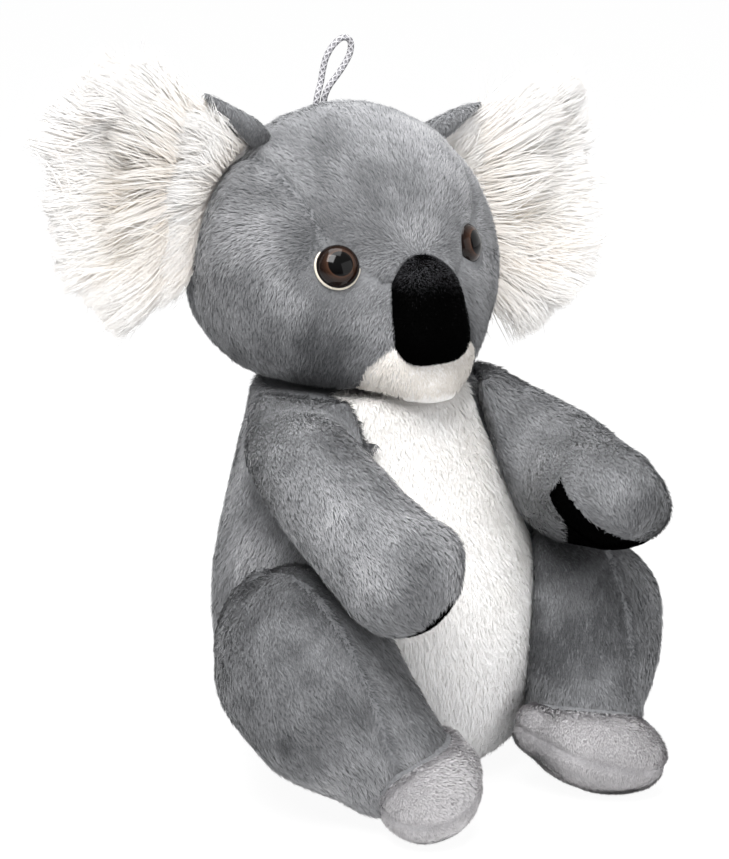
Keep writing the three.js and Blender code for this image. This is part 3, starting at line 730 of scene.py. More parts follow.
def blow_up():
    """Fills the skins: air pressure swells each one between its sewn seams, which stay where they are."""
    rest = []
    for piece, seams, _ in stuffed:
        points = coordinates(piece.data)
        sewn = piece.vertex_groups.new(name="sewn")
        hold = np.exp(-(seams(points) / 4) ** 2)
        hold[points[:, 2] < 3] = 1
        for i in np.flatnonzero(hold > 0.05):
            sewn.add([int(i)], float(hold[i]), "REPLACE")
        cloth = piece.modifiers.new("fill", "CLOTH")
        cloth.settings.quality = 4
        cloth.settings.use_pressure = True
        cloth.settings.uniform_pressure_force = PRESSURE
        cloth.settings.vertex_group_mass = "sewn"
        cloth.settings.effector_weights.gravity = 0
        cloth.point_cache.frame_end = FILL_STEPS
        rest.append(points)
    for step in range(FILL_STEPS):
        bpy.context.scene.frame_set(step + 1)
    for (piece, _, _), points in zip(stuffed, rest):
        apply_modifiers(piece)
        moves = coordinates(piece.data) - points
        short = np.minimum(1, SWELL_CAP / np.maximum(norm(moves), 1e-6))
        set_coordinates(piece.data, points + moves * short[:, None])
        piece.vertex_groups.clear()
    bpy.context.scene.frame_set(1)


def finish_skins():
    """One subdivision, and then a crease along each seam."""
    for piece, seams, crease in stuffed:
        modify(piece, "SUBSURF", levels=1, render_levels=1)
        points = coordinates(piece.data)
        depth = crease * np.exp(-(seams(points) / CREASE_WIDTH) ** 2)
        points -= vertex_normals(piece.data) * depth[:, None]
        points[:, 2] = np.maximum(points[:, 2], OFF_FLOOR)
        set_coordinates(piece.data, points)


def spread_shoulders():
    """The upper side of each sleeve runs out over the torso in a hollow curve, as sewn plush does."""
    for _, side in SIDES:
        mesh = skins["arm", side].data
        points, normals = coordinates(mesh), vertex_normals(mesh)
        far, axis = around_torso(points)
        reach = norm(points - axis)
        out = unit(points - axis)
        high = np.clip(reach - reach / np.maximum(far, 1e-6), 0, FLARE_REACH) / FLARE_REACH
        aside = unit(normals - out * dot(normals, out))
        upper = np.clip(0.35 + 1.2 * aside[:, 2:], 0, 1)
        upper = upper * np.clip(1.6 - np.abs(dot(normals, out)) * 1.6, 0, 1)
        points = points + aside * SHOULDER_FLARE * ((1 - high) ** 2)[:, None] * upper
        points[:, 2] = np.minimum(points[:, 2], NECK - 1.6)
        set_coordinates(mesh, points)


def line_panel(piece, inside, material):
    """Gives the backing of one panel its own colour."""
    mesh = piece.data
    mesh.materials.append(material)
    chosen = inside(read(mesh.polygons, "center") / MM)
    mesh.polygons.foreach_set("material_index", chosen.astype(np.int32))


skins = {"torso": stuffed_form("torso_skin", torso_form, torso_seams, GREY_CLOTH),
         "head": stuffed_form("head_skin", head_form, head_seams, GREY_CLOTH)}
for name, side in SIDES:
    for part, form, seams, material, settings in (
            ("arm", arm_form, no_seam, GREY_CLOTH, {"voxel": 3}),
            ("leg", leg_form, leg_seams, GREY_CLOTH, {"crease": 0.35}),
            ("foot", foot_form, foot_seams(side), PALE_CLOTH, {"inset": 1.2, "voxel": 2.5, "crease": 0.5})):
        skins[part, side] = stuffed_form(
            f"{part}_{name}_skin", lambda ways: form(ways, side), seams, material, **settings)
blow_up()
finish_skins()
spread_shoulders()
line_panel(skins["torso"], in_belly, WHITE_CLOTH)
line_panel(skins["head"], in_chin, WHITE_CLOTH)

# Pile


class Noise:
    """Smooth random numbers over space, between 0 and 1."""

    def __init__(self, seed, size=32):
        self.size = size
        self.values = np.random.default_rng(seed).random((size, size, size))

    def __call__(self, points, scale):
        at = points / scale
        low = np.floor(at).astype(int)
        w = at - low
        w = w * w * (3 - 2 * w)
        total = 0
        for corner in np.ndindex(2, 2, 2):
            weight = np.prod(np.where(np.array(corner), w, 1 - w), axis=1)
            total = total + weight * self.values[tuple(((low + corner) % self.size).T)]
        return total


patch_noise, stroke_noise, swirl_noise = Noise(3), Noise(7), Noise(11)


def roots_on(piece, density, rng):
    """Random roots over a piece, with the given number to a square millimetre."""
    mesh = piece.data
    mesh.calc_loop_triangles()
    corners = read(mesh.loop_triangles, "vertices", np.int32)
    places, normals = coordinates(mesh)[corners], vertex_normals(mesh)[corners]
    areas = norm(np.cross(places[:, 1] - places[:, 0], places[:, 2] - places[:, 0])) / 2
    count = int(areas.sum() * density)
    chosen = rng.choice(len(areas), count, p=areas / areas.sum())
    a, b = np.sqrt(rng.random(count)), rng.random(count)
    weights = np.stack([1 - a, a * (1 - b), a * b], 1)[:, :, None]
    return (places[chosen] * weights).sum(1), unit((normals[chosen] * weights).sum(1))


def ribbons(name, lines, sideways, widths, tones, shading, material):
    """A mesh of tapered ribbons. lines holds each one's places from root to tip, of which the last is the
    point, sideways the direction of its width, widths its width at each place but the first and last, and
    shading the normal that it takes the light with, so that pile is as soft as the form under it."""
    count, steps, _ = lines.shape
    each = 2 * steps - 2
    half = sideways[:, None, :] * widths[:, :, None] / 2
    verts = np.empty((count, each, 3))
    verts[:, 0], verts[:, -1] = lines[:, 0], lines[:, -1]
    verts[:, 1:-1:2], verts[:, 2:-1:2] = lines[:, 1:-1] - half, lines[:, 1:-1] + half
    verts[:, :, 2] = np.maximum(verts[:, :, 2], OFF_FLOOR)  # pile is pressed flat by the floor
    faces = [(0, 1, 2)]
    for a in range(1, each - 3, 2):
        faces += [(a, a + 2, a + 3), (a, a + 3, a + 1)]
    faces.append((each - 3, each - 1, each - 2))
    index = (np.array(faces)[None] + (np.arange(count) * each)[:, None, None]).reshape(-1, 3)
    mesh = bpy.data.meshes.new(name)
    mesh.vertices.add(count * each)
    mesh.vertices.foreach_set("co", (verts * MM).astype(np.float32).ravel())
    mesh.loops.add(index.size)
    mesh.loops.foreach_set("vertex_index", index.astype(np.int32).ravel())
    mesh.polygons.add(len(index))
    mesh.polygons.foreach_set("loop_start", np.arange(0, index.size, 3, dtype=np.int32))
    mesh.polygons.foreach_set("use_smooth", np.ones(len(index), bool))
    # The map: the tone across, with a little width so that it has an area, and root to tip up it
    offset = np.tile([0.012, -0.012], steps - 1)
    offset[[0, -1]] = 0
    map_x = (0.03 + 0.94 * np.clip(tones, 0, 1)[:, None] + offset).ravel()
    map_y = np.tile(0.02 + 0.96 * np.repeat(np.linspace(0, 1, steps), 2)[1:-1], count)
    mesh.uv_layers.new(name="OFBake").uv.foreach_set(
        "vector", np.column_stack([map_x, map_y])[index.ravel()].astype(np.float32).ravel())
    mesh.update(calc_edges=True)
    mesh.normals_split_custom_set_from_vertices(np.repeat(shading, each, axis=0))
    return add_object(name, mesh, material)


def turned(first, second, angle):
    """The ways at an angle from the first ones towards the second."""
    return first * np.cos(angle)[:, None] + second * np.sin(angle)[:, None]


ROOT_DEPTH = 0.4  # how far a strand's root sits in the backing
# Lighter and darker patches, partly random tone and partly painted light for pile brushed different ways:
# the noises that make them, how much each counts, its scale and where it is read from
PATCHES = ((patch_noise, 0.65, 17, 0), (patch_noise, 0.3, 7, 70), (stroke_noise, 0.15, 3, 0))


def pile(name, skin, density, keep, way, material, length=3.6, width=0.27, lift=0.52, end_lift=0.16,
         ruffle=0.3, seams=no_seam, shorter=0.35, size_share=lambda p: 1, patchy=1,
         painted_light_and_tone=lambda p, n: 0, seed=1):
    """Short pile over the part of a skin that keep picks. It lies the way it is brushed, rises by lift
    radians at the root and by end_lift at the tip, and its tone changes in patches, partly random and
    partly painted light for pile brushed different ways. Along a seam it is shorter, darker with painted
    shade, and leans away from it."""
    rng = np.random.default_rng(seed)
    places, normals = roots_on(skin, density, rng)
    kept = keep(places, normals)
    places, normals = places[kept], normals[kept]

    def uneven(spread):
        return rng.normal(0, spread, len(places))

    brushed = way(places, normals)
    brushed = unit(brushed - normals * dot(normals, brushed))
    aside = np.cross(normals, brushed)
    near = seams(places)
    away = seams(places + aside * 0.5) - seams(places - aside * 0.5)
    swirl = ruffle * (2 * (swirl_noise(places, 14) - 0.5) + 1.2 * (swirl_noise(places + 50, 4) - 0.5))
    swirl = swirl + uneven(0.18) + 0.8 * np.clip(away, -1, 1) * np.exp(-(near / 3) ** 2)
    flat = turned(brushed, aside, swirl)
    size = length * (0.75 + 0.5 * rng.random(len(places))) * (0.85 + 0.3 * stroke_noise(places, 5))
    half = (size * (1 - shorter * np.exp(-(near / 2.2) ** 2)) * size_share(places) / 2)[:, None]
    first = turned(flat, normals, lift + uneven(0.12) + 0.35 * (stroke_noise(places + 9, 7) - 0.5))
    second = turned(flat, normals, end_lift + uneven(0.1))
    root = places - normals * ROOT_DEPTH
    middle = root + first * half
    lines = np.stack([root, middle, middle + second * half], 1)
    sideways = turned(unit(np.cross(normals, first)), normals, uneven(0.4))
    tones = 0.5 + patchy * sum(
        share * (noise(places + start, scale) - 0.5) for noise, share, scale, start in PATCHES)
    # Darker along seams: painted shade in their creases. The last term is each part's painted light and
    # shade, and for the palms a darker own colour
    tones = tones + uneven(0.07) - 0.3 * np.exp(-(near / 1.4) ** 2) + painted_light_and_tone(places, normals)
    shading = unit(normals + 0.25 * unit(np.cross(first, sideways)))
    widths = width * (0.8 + 0.4 * rng.random((len(places), 1)))
    return ribbons(name, lines, sideways, widths, tones, shading, material)


DOWN = -UP


def downwards(places, normals):
    return DOWN


def off_limbs(places):
    """Whether each place is off the floor and outside the limbs."""
    outside = [limb.depth(places) > 0.93 for limb in LIMBS.values()]
    return np.all(outside, axis=0) & (places[:, 2] > 1.5)


torso = skins["torso"]
torso_grey = [
    pile(f"torso_side_{name}_pile", torso, 4.2,
         lambda p, n: (p[:, 0] * side > 0) & ~in_belly(p) & off_limbs(p) & (p[:, 2] < NECK - 2),
         downwards, GREY_PILE, seams=torso_seams, seed=20 + side)
    for name, side in SIDES]
# The belly's pile is toned lighter low down and darker high up: painted light and shade for how the light
# falls on it
belly = pile("belly_pile", torso, 4.6, lambda p, n: in_belly(p) & off_limbs(p), downwards, WHITE_PILE,
             length=4, seams=torso_seams, seed=31, patchy=0.4,
             painted_light_and_tone=lambda p, n: 0.45 - 0.5 * np.clip((p[:, 2] - 30) / 60, 0, 1))

# Head
EYES = [on_head(eye[None])[0] for eye in EGG_EYES]
NOSE_PLACE = on_head(face_point(0, -NOSE_BELOW)[None])[0] + (NOSE_ASIDE, NOSE_SET_IN, 0)
NOSE_TURN = np.array(Matrix.Rotation(-NOSE_TILT, 3, "X"))


def from_eyes(places):
    return np.min([norm(places - eye) for eye in EYES], axis=0) - EYE_RADIUS


def from_nose(places):
    """Each place's distance from the nose's middle, as a share of the nose's size."""
    return norm((places - NOSE_PLACE) @ NOSE_TURN / NOSE_HALF)


def on_face(places):
    """Whether each place is clear of the eyes, the nose and the neck."""
    return (from_nose(places) > 0.97) & (from_eyes(places) > 0.8) & (places[:, 2] > NECK + 1.5)


def head_size(places):
    """The pile is shorter round the eyes and the nose."""
    eyes = 1 - 0.5 * np.exp(-(from_eyes(places) / 6) ** 2)
    return eyes * (1 - 0.45 * np.exp(-((from_nose(places) - 1) / 0.35) ** 2))


def head_way(places, normals):
    """Brushed down, and back from the nose over the cheeks and up over the brow."""
    away = unit(places - (0, -60, HEAD_CENTRE[2] - 6))
    brow = np.clip((places[:, 2:] - HEAD_CENTRE[2] - 6) / 26, 0, 1) * (places[:, 1:2] < HEAD_CENTRE[1])
    front = np.clip((HEAD_CENTRE[1] - 20 - places[:, 1:2]) / 25, 0, 1)
    return DOWN * (1 - 0.75 * brow) + away * (0.55 * front + 1.1 * brow)


head = skins["head"]
head_pieces = [pile(
    "forehead_pile", head, 4.6, lambda p, n: in_forehead(p) & on_face(p), head_way, GREY_PILE,
    seams=head_seams, size_share=head_size, seed=40)]
for name, side in SIDES:
    # The cheeks' pile is toned a little darker, and darker still low down towards the jaw: painted shade
    head_pieces.append(pile(
        f"cheek_{name}_pile", head, 4.6,
        lambda p, n: ((p[:, 0] * side > 0) & (p[:, 1] < CROWN_Y) & on_face(p)
                      & ~in_forehead(p) & ~in_chin(p)),
        head_way, GREY_PILE, seams=head_partings, size_share=head_size, seed=42 + side,
        painted_light_and_tone=lambda p, n: -0.07 - 0.26 * np.clip((NECK + 32 - p[:, 2]) / 28, 0, 1)))
    head_pieces.append(pile(
        f"head_back_{name}_pile", head, 4,
        lambda p, n: (p[:, 0] * side > 0) & (p[:, 1] >= CROWN_Y) & (p[:, 2] > NECK + 1.5),
        head_way, GREY_PILE, seams=head_seams, seed=46 + side))
# The chin's white pile is toned darker than the belly's: painted shade
chin = pile("chin_pile", head, 5, lambda p, n: in_chin(p) & ~in_forehead(p) & on_face(p), head_way,
            WHITE_PILE, length=2.8, seams=head_partings, size_share=head_size, seed=50,
            painted_light_and_tone=lambda p, n: -0.75)


def nose_form(ways):
    fullness = 2.9 - 0.7 * ways[:, 2:]  # squarer at the bottom
    full = (np.abs(ways) ** fullness).sum(1, keepdims=True)
    points = ways / full ** (1 / fullness) * NOSE_HALF
    points[:, 0] *= 1 - 0.14 * ways[:, 2]
    return points @ NOSE_TURN.T + NOSE_PLACE


nose = shaped_ball("nose_cover_cloth", nose_form, 5, BLACK_CLOTH)
# The nose's pile is toned grey on its upward-facing top: a painted sheen
nose_pile = pile("nose_pile", nose, 8, lambda p, n: n[:, 1] < 0.5, downwards, BLACK_PILE, length=1.5,
                 width=0.28, lift=0.9, end_lift=0.6, patchy=0.3, seed=52,
                 painted_light_and_tone=lambda p, n: np.clip(n[:, 2], -0.2, 1) * 0.85 - 0.3)

# Eyes


def eye_material():
    """Clear moulded acrylic over paint: a black pupil in a brown iris, under a hard gloss."""
    material, shader = new_material(
        "clear_acrylic_over_painted_iris", Roughness=0.08, IOR=1.49, Specular_IOR_Level=0.22)
    place = add_node(material, "UVMap", uv_map="disc")
    off = sum_node(material, "SUBTRACT", (place, "UV"), Vector((0.5, 0.5, 0)), kind="VectorMath")
    far = sum_node(material, "LENGTH", (off, "Vector"), kind="VectorMath")
    rings = ramp(material, far, "Value", [(0, "010101"), (0.28, "020101"), (0.3, "3e2a1f"),
                                          (0.335, "2e1d14"), (0.4, "1c100a"), (0.47, "0e0503")])
    link(material, rings, "Color", shader, "Base Color")
    return material


EYE_PLASTIC = eye_material()
FLANGE_PLASTIC, _ = new_material("cream_moulded_flange", Base_Color=linear("d8d0c0"), Roughness=0.35)
RIM = EYE_RADIUS + 0.6  # the flange's radius
FLANGE = [(RIM - 0.2, 0), (RIM, 0.3), (RIM, 1), (RIM - 0.3, 1.2), (2.2, 1.2), (2.2, 13), (0, 13)]


def make_eye(name, side, place):
    """A dome on a flange with its shank, spun round the way the eye looks."""
    bm = bmesh.new()
    profile = [(EYE_RADIUS * sin(a), -EYE_DOME * cos(a)) for a in np.linspace(0, pi / 2, 13)] + FLANGE
    verts = [bm.verts.new((r * MM, d * MM, 0)) for r, d in profile]
    edges = [bm.edges.new(pair) for pair in zip(verts[:-1], verts[1:])]
    bmesh.ops.spin(bm, geom=verts + edges, cent=(0, 0, 0), axis=(0, 1, 0), angle=tau, steps=64,
                   use_merge=True)
    bmesh.ops.remove_doubles(bm, verts=bm.verts, dist=1e-6)
    bmesh.ops.recalc_face_normals(bm, faces=bm.faces)
    disc = bm.loops.layers.uv.new("disc")
    for face in bm.faces:
        face.smooth = True
        face.material_index = int(face.calc_center_median().y > -1e-5)
        for loop in face.loops:
            loop[disc].uv = loop.vert.co.xz / MM / EYE_RADIUS / 2 + Vector((0.5, 0.5))
    turn = (Matrix.Translation(Vector(place + (0, EYE_SET_IN[side], 0)) * MM)
            @ Matrix.Rotation(radians(side * EYE_TURN[side]), 4, "Z")
            @ Matrix.Rotation(radians(-EYE_LIFT[side]), 4, "X"))
    bmesh.ops.transform(bm, matrix=turn, verts=bm.verts)
    mesh = finished_mesh(bm, name)
    piece = add_object(name, mesh, EYE_PLASTIC)
    mesh.materials.append(FLANGE_PLASTIC)
    return piece


eyes = [make_eye(f"eye_dome_{name}", side, eye) for eye, (name, side) in zip(EYES, SIDES)]

# Limbs


def limb_way(limb, down):
    """Brushed along the limb towards its end, and down."""
    at, along = limb.frame(np.linspace(0, 1, 24))[:2]

    def way(places, normals):
        nearest = np.argmin(((places[:, None] - at) ** 2).sum(2), axis=1)
        return along[nearest] + DOWN * down
    return way


NEAR_PALM, NEAR_PALM_HALF = (11.5, -2, -16.4), (16, 28, 14)
# Ways square to the planes of the far palm's upper edge, and of its lower edge near the wrist
FAR_PALM_OUT, FAR_PALM_LOW = unit(np.array([(0.292, -0.583, 0.758), (0.163, -0.64, 0.751)]))
FAR_PALM_ALONG = unit(np.array([0.773, -0.322, -0.545]))
FAR_PALM_ACROSS = np.cross(FAR_PALM_OUT, FAR_PALM_ALONG)


def on_palm(places, side):
    """Whether each place is on the palm: an oval pad, of which the far hand's ends at a plane."""
    off = places - LIMBS["arm", side].points[-1]
    if side < 0:
        return norm((off - NEAR_PALM) / NEAR_PALM_HALF) < 1
    along = off @ FAR_PALM_ALONG
    pad = np.hypot((along - 2) / 24, (off @ FAR_PALM_ACROSS + 8) / 16) < 1
    wrist = off @ FAR_PALM_LOW > -5.5 - 1.5 * np.maximum(along + 14, 0)
    return (off @ FAR_PALM_OUT < 0.6) & pad & wrist


def off_body(places):
    return around_torso(places)[0] > 0.985


limb_piles = {}
for name, side in SIDES:
    arm, leg = LIMBS["arm", side], LIMBS["leg", side]
    arm_skin, leg_skin, foot_skin = skins["arm", side], skins["leg", side], skins["foot", side]
    line_panel(arm_skin, lambda p: on_palm(p, side), BLACK_CLOTH)
    # The foot's backing is the leg's grey where the two meet: a dark sheet in that crease, painted shade
    line_panel(foot_skin, lambda p: leg.depth(p) < 1.02, GREY_CLOTH)
    # The far arm's pile is toned darker and the near arm's lighter: painted shade and light
    arm_pile = pile(
        f"arm_{name}_pile", arm_skin, 4.6,
        lambda p, n: ~on_palm(p, side) & off_body(p) & (leg.depth(p) > 0.95), limb_way(arm, 0.4), GREY_PILE,
        seed=60 + side, painted_light_and_tone=lambda p, n: -0.19 if side > 0 else 0.06)
    palm_pile = pile(
        f"palm_{name}_pile", arm_skin, 7, lambda p, n: on_palm(p, side), limb_way(arm, 0.2), BLACK_PILE,
        length=1.6, width=0.3, lift=0.9, end_lift=0.6, patchy=0.2, seed=64 + side,
        painted_light_and_tone=lambda p, n: -0.35)
    # The legs' pile is toned darker high up, most on the far leg's inner side, and lighter low down:
    # painted shade under the arms and painted light
    leg_piles = [
        pile(f"leg_{name}_{zone}_pile", leg_skin, 4.4,
             lambda p, n: (beyond_leg_seam(p) * way > 0) & off_body(p) & (p[:, 2] > 1),
             limb_way(leg, 0.9), GREY_PILE, seams=leg_seams, seed=70 + side + 4 * way,
             painted_light_and_tone=lambda p, n: tone * np.clip((p[:, 2] - 30) / 20, 0, 1)
             + 0.2 * np.clip((38 - p[:, 2]) / 20, 0, 1))
        for zone, way, tone in (("outer", 1, -0.3), ("inner", -1, -0.3 if side < 0 else -0.52))]
    # The foot's pile is toned darker where it meets the leg: painted shade in that crease
    foot_pile = pile(
        f"foot_{name}_pile", foot_skin, 8,
        lambda p, n: (leg.depth(p) > 0.99) & off_body(p) & (p[:, 2] > 0.4),
        limb_way(leg, 0.2), PALE_PILE, length=1.9, width=0.3, lift=0.95, end_lift=0.6, ruffle=0.4,
        seams=foot_seams(side), shorter=0.5, patchy=0.6, seed=80 + side,
        painted_light_and_tone=lambda p, n: -0.9 * np.exp(-((leg.depth(p) - 1) / 0.12) ** 2))
    limb_piles[name] = arm_pile, palm_pile, leg_piles, foot_pile

# Ears
HAIR_COUNT, RIM_COUNT, TOP_COUNT, STRAY_COUNT, LOCK_COUNT = 12500, 6000, 3000, 700, 1300
TUFTS, TUFT_PULL, HAIR_STEPS = 260, 0.85, 6
SHORTEST, USUAL, LONGEST = 5, 20, 42  # lengths of the hair
LOCK_WAY, LOCK_LENGTH = radians(202), 22
TOP_ARC = (radians(70), radians(130))  # where the hair is thickest
HAIR_FROM = np.array([-1.5, 0.2])  # where on the disc the hair fans out from
# How far the hair reaches at each angle round the disc, in shares of it
EAR_REACH = {
    -1: [(-180, 1), (-138, 1.16), (-113, 1.32), (-96, 1.32), (-69, 0.98), (-45, 1.08), (-23, 0.95),
         (-10, 1.15), (4, 1.34), (16, 1.46), (26, 1.54), (43, 1.36), (65, 1.38), (95, 1.3), (121, 1.4),
         (150, 1.6), (165, 1.5), (180, 1.1)],
    1: [(-180, 1), (-135, 1.2), (-115, 1.6), (-103, 1.62), (-93, 1.38), (-64, 1.26), (-42, 1.38),
        (-27, 1.36), (-9, 1.26), (9, 1.14), (15, 1.3), (30, 1.28), (45, 1.48), (60, 1.38), (80, 1.2),
        (90, 1.25), (105, 1.45), (130, 1.35), (180, 1)]}
# The lock of hair along each fold, from its start to its end on the disc
LOCKS = {-1: ((-0.62, 0.98), (-0.95, 0.84)), 1: ((-0.4, 1.02), (-0.6, 0.95))}


def ear_hair(name, side, seed):
    """Long loose hair that fans out from the head, gathered into tufts towards its tips."""
    rng = np.random.default_rng(seed)
    middle, outer, top = ear_form(np.array([[0, 0, 0], [1, 0, 0], [0, 0, 1.0]]), side)
    across, rise = unit(outer - middle), unit(top - middle)
    front = side * np.cross(across, rise)
    angles, reaches = np.array(EAR_REACH[side]).T

    def fitted(disc, angle, size, share):
        """Hair lengths at which the tips stay within the ear's outline, and those near the rim reach it."""
        way = np.column_stack([np.cos(angle), np.sin(angle)])
        on_rim = (norm(disc) > 0.66) & (disc[:, 0] > -0.7)
        for _ in range(3):
            tip = disc + way * size[:, None] / EAR_HALF
            reach = np.interp(np.degrees(np.arctan2(tip[:, 1], tip[:, 0])), angles, reaches) * share
            left = (reach - norm(tip)) * np.mean(EAR_HALF)
            size = np.where((left < 0) | on_rim, size + left, size)
        return np.clip(size, SHORTEST, LONGEST)

    def curves(root, angle, size, lift, droop):
        """The curve of each hair from its root."""
        flat = turned(across, rise, angle)
        line = [root]
        for t in np.linspace(0, 1, HAIR_STEPS)[1:]:
            step = unit(turned(flat, front, lift * (1 - 1.5 * t)) + DOWN * (droop * t)[:, None])
            line.append(line[-1] + step * (size / (HAIR_STEPS - 1))[:, None])
        return np.stack(line, 1)

    def grown(disc, spread, ends):
        """Hair from places on the disc."""
        count, far = len(disc), norm(disc)
        way = unit((disc - HAIR_FROM) * EAR_HALF)
        angle = np.arctan2(way[:, 1], way[:, 0]) + rng.normal(0, spread, count)
        rooted = on_ear_cloth(np.insert(disc, 1, 0, axis=1))[:, ::2]
        size, share = USUAL * (1 + rng.normal(0, 0.15, count)), 1.04 + rng.normal(0, ends, count)
        size = fitted(rooted, angle, size, share)
        depth = -np.sqrt(np.maximum(1 - far ** 2, 0))
        root = ear_form(on_ear_cloth(np.insert(disc, 1, depth, axis=1)), side)
        lift = np.radians(52 - 30 * far) + rng.normal(0, 0.12, count)
        return curves(root, angle, size, lift, rng.normal(0.12, 0.08, count))

    def discs(count, low=0, high=1, start=0, end=tau):
        far, angle = np.sqrt(rng.uniform(low ** 2, high ** 2, count)), rng.uniform(start, end, count)
        return np.column_stack([far * np.cos(angle), far * np.sin(angle)])

    def lock(count):
        """Hair that lies along the fold, towards the head."""
        along, aside = rng.random(count), rng.uniform(-1, 1, count)
        start, end = LOCKS[side]
        places = start + np.outer(along, np.subtract(end, start)) + np.outer(aside, (0, 0.07))
        angle = LOCK_WAY + rng.normal(0, 0.05, count) + 0.12 * aside
        size = LOCK_LENGTH * (1 + rng.normal(0, 0.1, count))
        root = ear_form(np.insert(places, 1, -2.6, axis=1), side)
        return curves(root, angle, size, 0.3 + 0 * aside, 0 * aside)

    tuft_disc = discs(TUFTS)
    tufts = grown(tuft_disc, 0.2, 0.05)
    disc = np.vstack([discs(HAIR_COUNT), discs(RIM_COUNT, 0.8), discs(TOP_COUNT, 0.7, 1, *TOP_ARC)])
    stray = discs(STRAY_COUNT)
    lines = np.vstack([grown(disc, 0.16, 0.04), grown(stray, 0.5, 0.06)])
    pull = np.r_[rng.uniform(0.55, 1, len(disc)), rng.uniform(0, 0.3, STRAY_COUNT)]
    disc = np.vstack([disc, stray])
    nearest = np.argmin(((disc[:, None] - tuft_disc) ** 2).sum(2), axis=1)
    pull = pull[:, None] * TUFT_PULL * np.linspace(0, 1, HAIR_STEPS) ** 1.5
    lines = lines + (tufts[nearest] - lines) * pull[:, :, None]
    lines = np.vstack([lines, lock(LOCK_COUNT)])
    disc = np.vstack([disc, np.full((LOCK_COUNT, 2), 0.9)])
    lines[:, 1:] += rng.normal(0, 0.22, lines[:, 1:].shape)
    # No hair starts in the head or lies over the fold
    clear = norm((lines[:, 0] - HEAD_CENTRE) / (*HEAD_HALF, HEAD_RISE)) > 0.97
    x, z = ((lines[:-LOCK_COUNT] - middle) @ np.column_stack([across, rise]) / EAR_HALF).transpose(2, 0, 1)
    over_fold = (x < -0.62) & (z > 0.8 + 0.32 * (x + 0.76)) if side < 0 else (x < -0.4) & (z > 0.96)
    clear[:-LOCK_COUNT] &= ~over_fold.any(1)
    lines, disc, count = lines[clear], disc[clear], clear.sum()
    run = lines[:, 3] - lines[:, 0]
    sideways = unit(np.cross(front, run) + rng.normal(0, 0.3, (count, 3)))
    shading = unit(front + 0.25 * unit(np.cross(run, sideways)) + 0.3 * UP)
    widths = np.linspace(0.54, 0.32, HAIR_STEPS - 2) * rng.uniform(0.7, 1.2, (count, 1))
    # The hair is toned darker and creamier towards the middle of the ear
    cream = np.exp(-(norm((disc - (-0.15, -0.05)) * (1, 0.8)) / 0.5) ** 2)
    tones = 0.85 - 0.6 * cream + 0.25 * (patch_noise(lines[:, 0], 9) - 0.5) + rng.normal(0, 0.08, count)
    return ribbons(name, lines, sideways, widths, tones, shading, HAIR)


# The middle of each fold on the disc, and its rise from the middle out
FOLDS = {-1: (-1.08, 0.9, 0.18), 1: (-0.82, 1.1, 0)}


def ear_fold_form(ways, side):
    """The grey back of the ear, which folds forward over the top of its root."""
    across, up, rise = FOLDS[side]
    x, y, z = ways.T
    high = 1 - 0.6 * x
    depth = -3.4 + 2.4 * y * high + 5 * np.minimum(x, 0) ** 2
    return ear_form(np.column_stack([across + 0.5 * x, depth, up + rise * x + 0.11 * z * high]), side)


ears = {}
for name, side in SIDES:
    cloth = shaped_ball(
        f"ear_{name}_cloth", lambda ways: ear_form(on_ear_cloth(ways), side), 4, WHITE_CLOTH)
    fold = shaped_ball(f"ear_{name}_fold_cloth", lambda ways: ear_fold_form(ways, side), 4, GREY_CLOTH)
    fold_pile = pile(f"ear_{name}_fold_pile", fold, 5, lambda p, n: n[:, 1] < 0.9, downwards, GREY_PILE,
                     length=2.4, seed=97 + side)
    hair = ear_hair(f"ear_{name}_hair_pile", side, 90 + side)
    back = pile(f"ear_{name}_back_pile", cloth, 4.4, lambda p, n: n[:, 1] > -0.1,
                lambda p, n: np.array([side * 0.8, 0, -0.5]), GREY_PILE, seed=94 + side)
    ears[name] = hair, cloth, back, fold, fold_pile


def ride_all(pieces, body):
    for piece in pieces:
        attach(piece, body)


# What each piece stands for and moves with
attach(torso, "torso")
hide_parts("torso_side_left", "torso_side_right", "belly_panel", "seat_panel", "torso_filling")
ride_all(torso_grey, "torso")
ride_all([belly], "torso")
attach(head, "head")
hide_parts("head_forehead", "head_chin", "head_cheek_left", "head_cheek_right", "head_back_left",
            "head_back_right", "head_filling")
ride_all(head_pieces, "head")
ride_all([chin], "head")
ride_all([nose, nose_pile], "head")
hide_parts("nose_cover", "nose_filling")
ride_all(eyes, "head")
for eye, (name, _) in zip(eyes, SIDES):
    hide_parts(f"eye_{name}")
for name, side in SIDES:
    arm_skin, leg_skin, foot_skin = skins["arm", side], skins["leg", side], skins["foot", side]
    arm_pile, palm_pile, leg_piles, foot_pile = limb_piles[name]
    hair, cloth, *others = ears[name]
    ride_all([cloth, *others], f"ear_{name}")
    ride_all([hair], f"ear_{name}")
    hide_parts(f"ear_{name}_back")
    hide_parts(f"ear_{name}_hair")
    shoulder, elbow, _ = LIMBS["arm", side].points
    for piece in (arm_skin, arm_pile):
        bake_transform(piece)
    ride_all([palm_pile], f"arm_{name}")
    ride_all([leg_skin, *leg_piles], f"leg_{name}")
    ride_all([foot_skin, foot_pile], f"leg_{name}")
    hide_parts(f"arm_{name}_sleeve", f"arm_{name}_palm", f"arm_{name}_filling")
    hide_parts(f"leg_{name}_outer", f"leg_{name}_inner", f"leg_{name}_filling")
    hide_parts(f"foot_{name}_top", f"foot_{name}_sole", f"foot_{name}_filling")

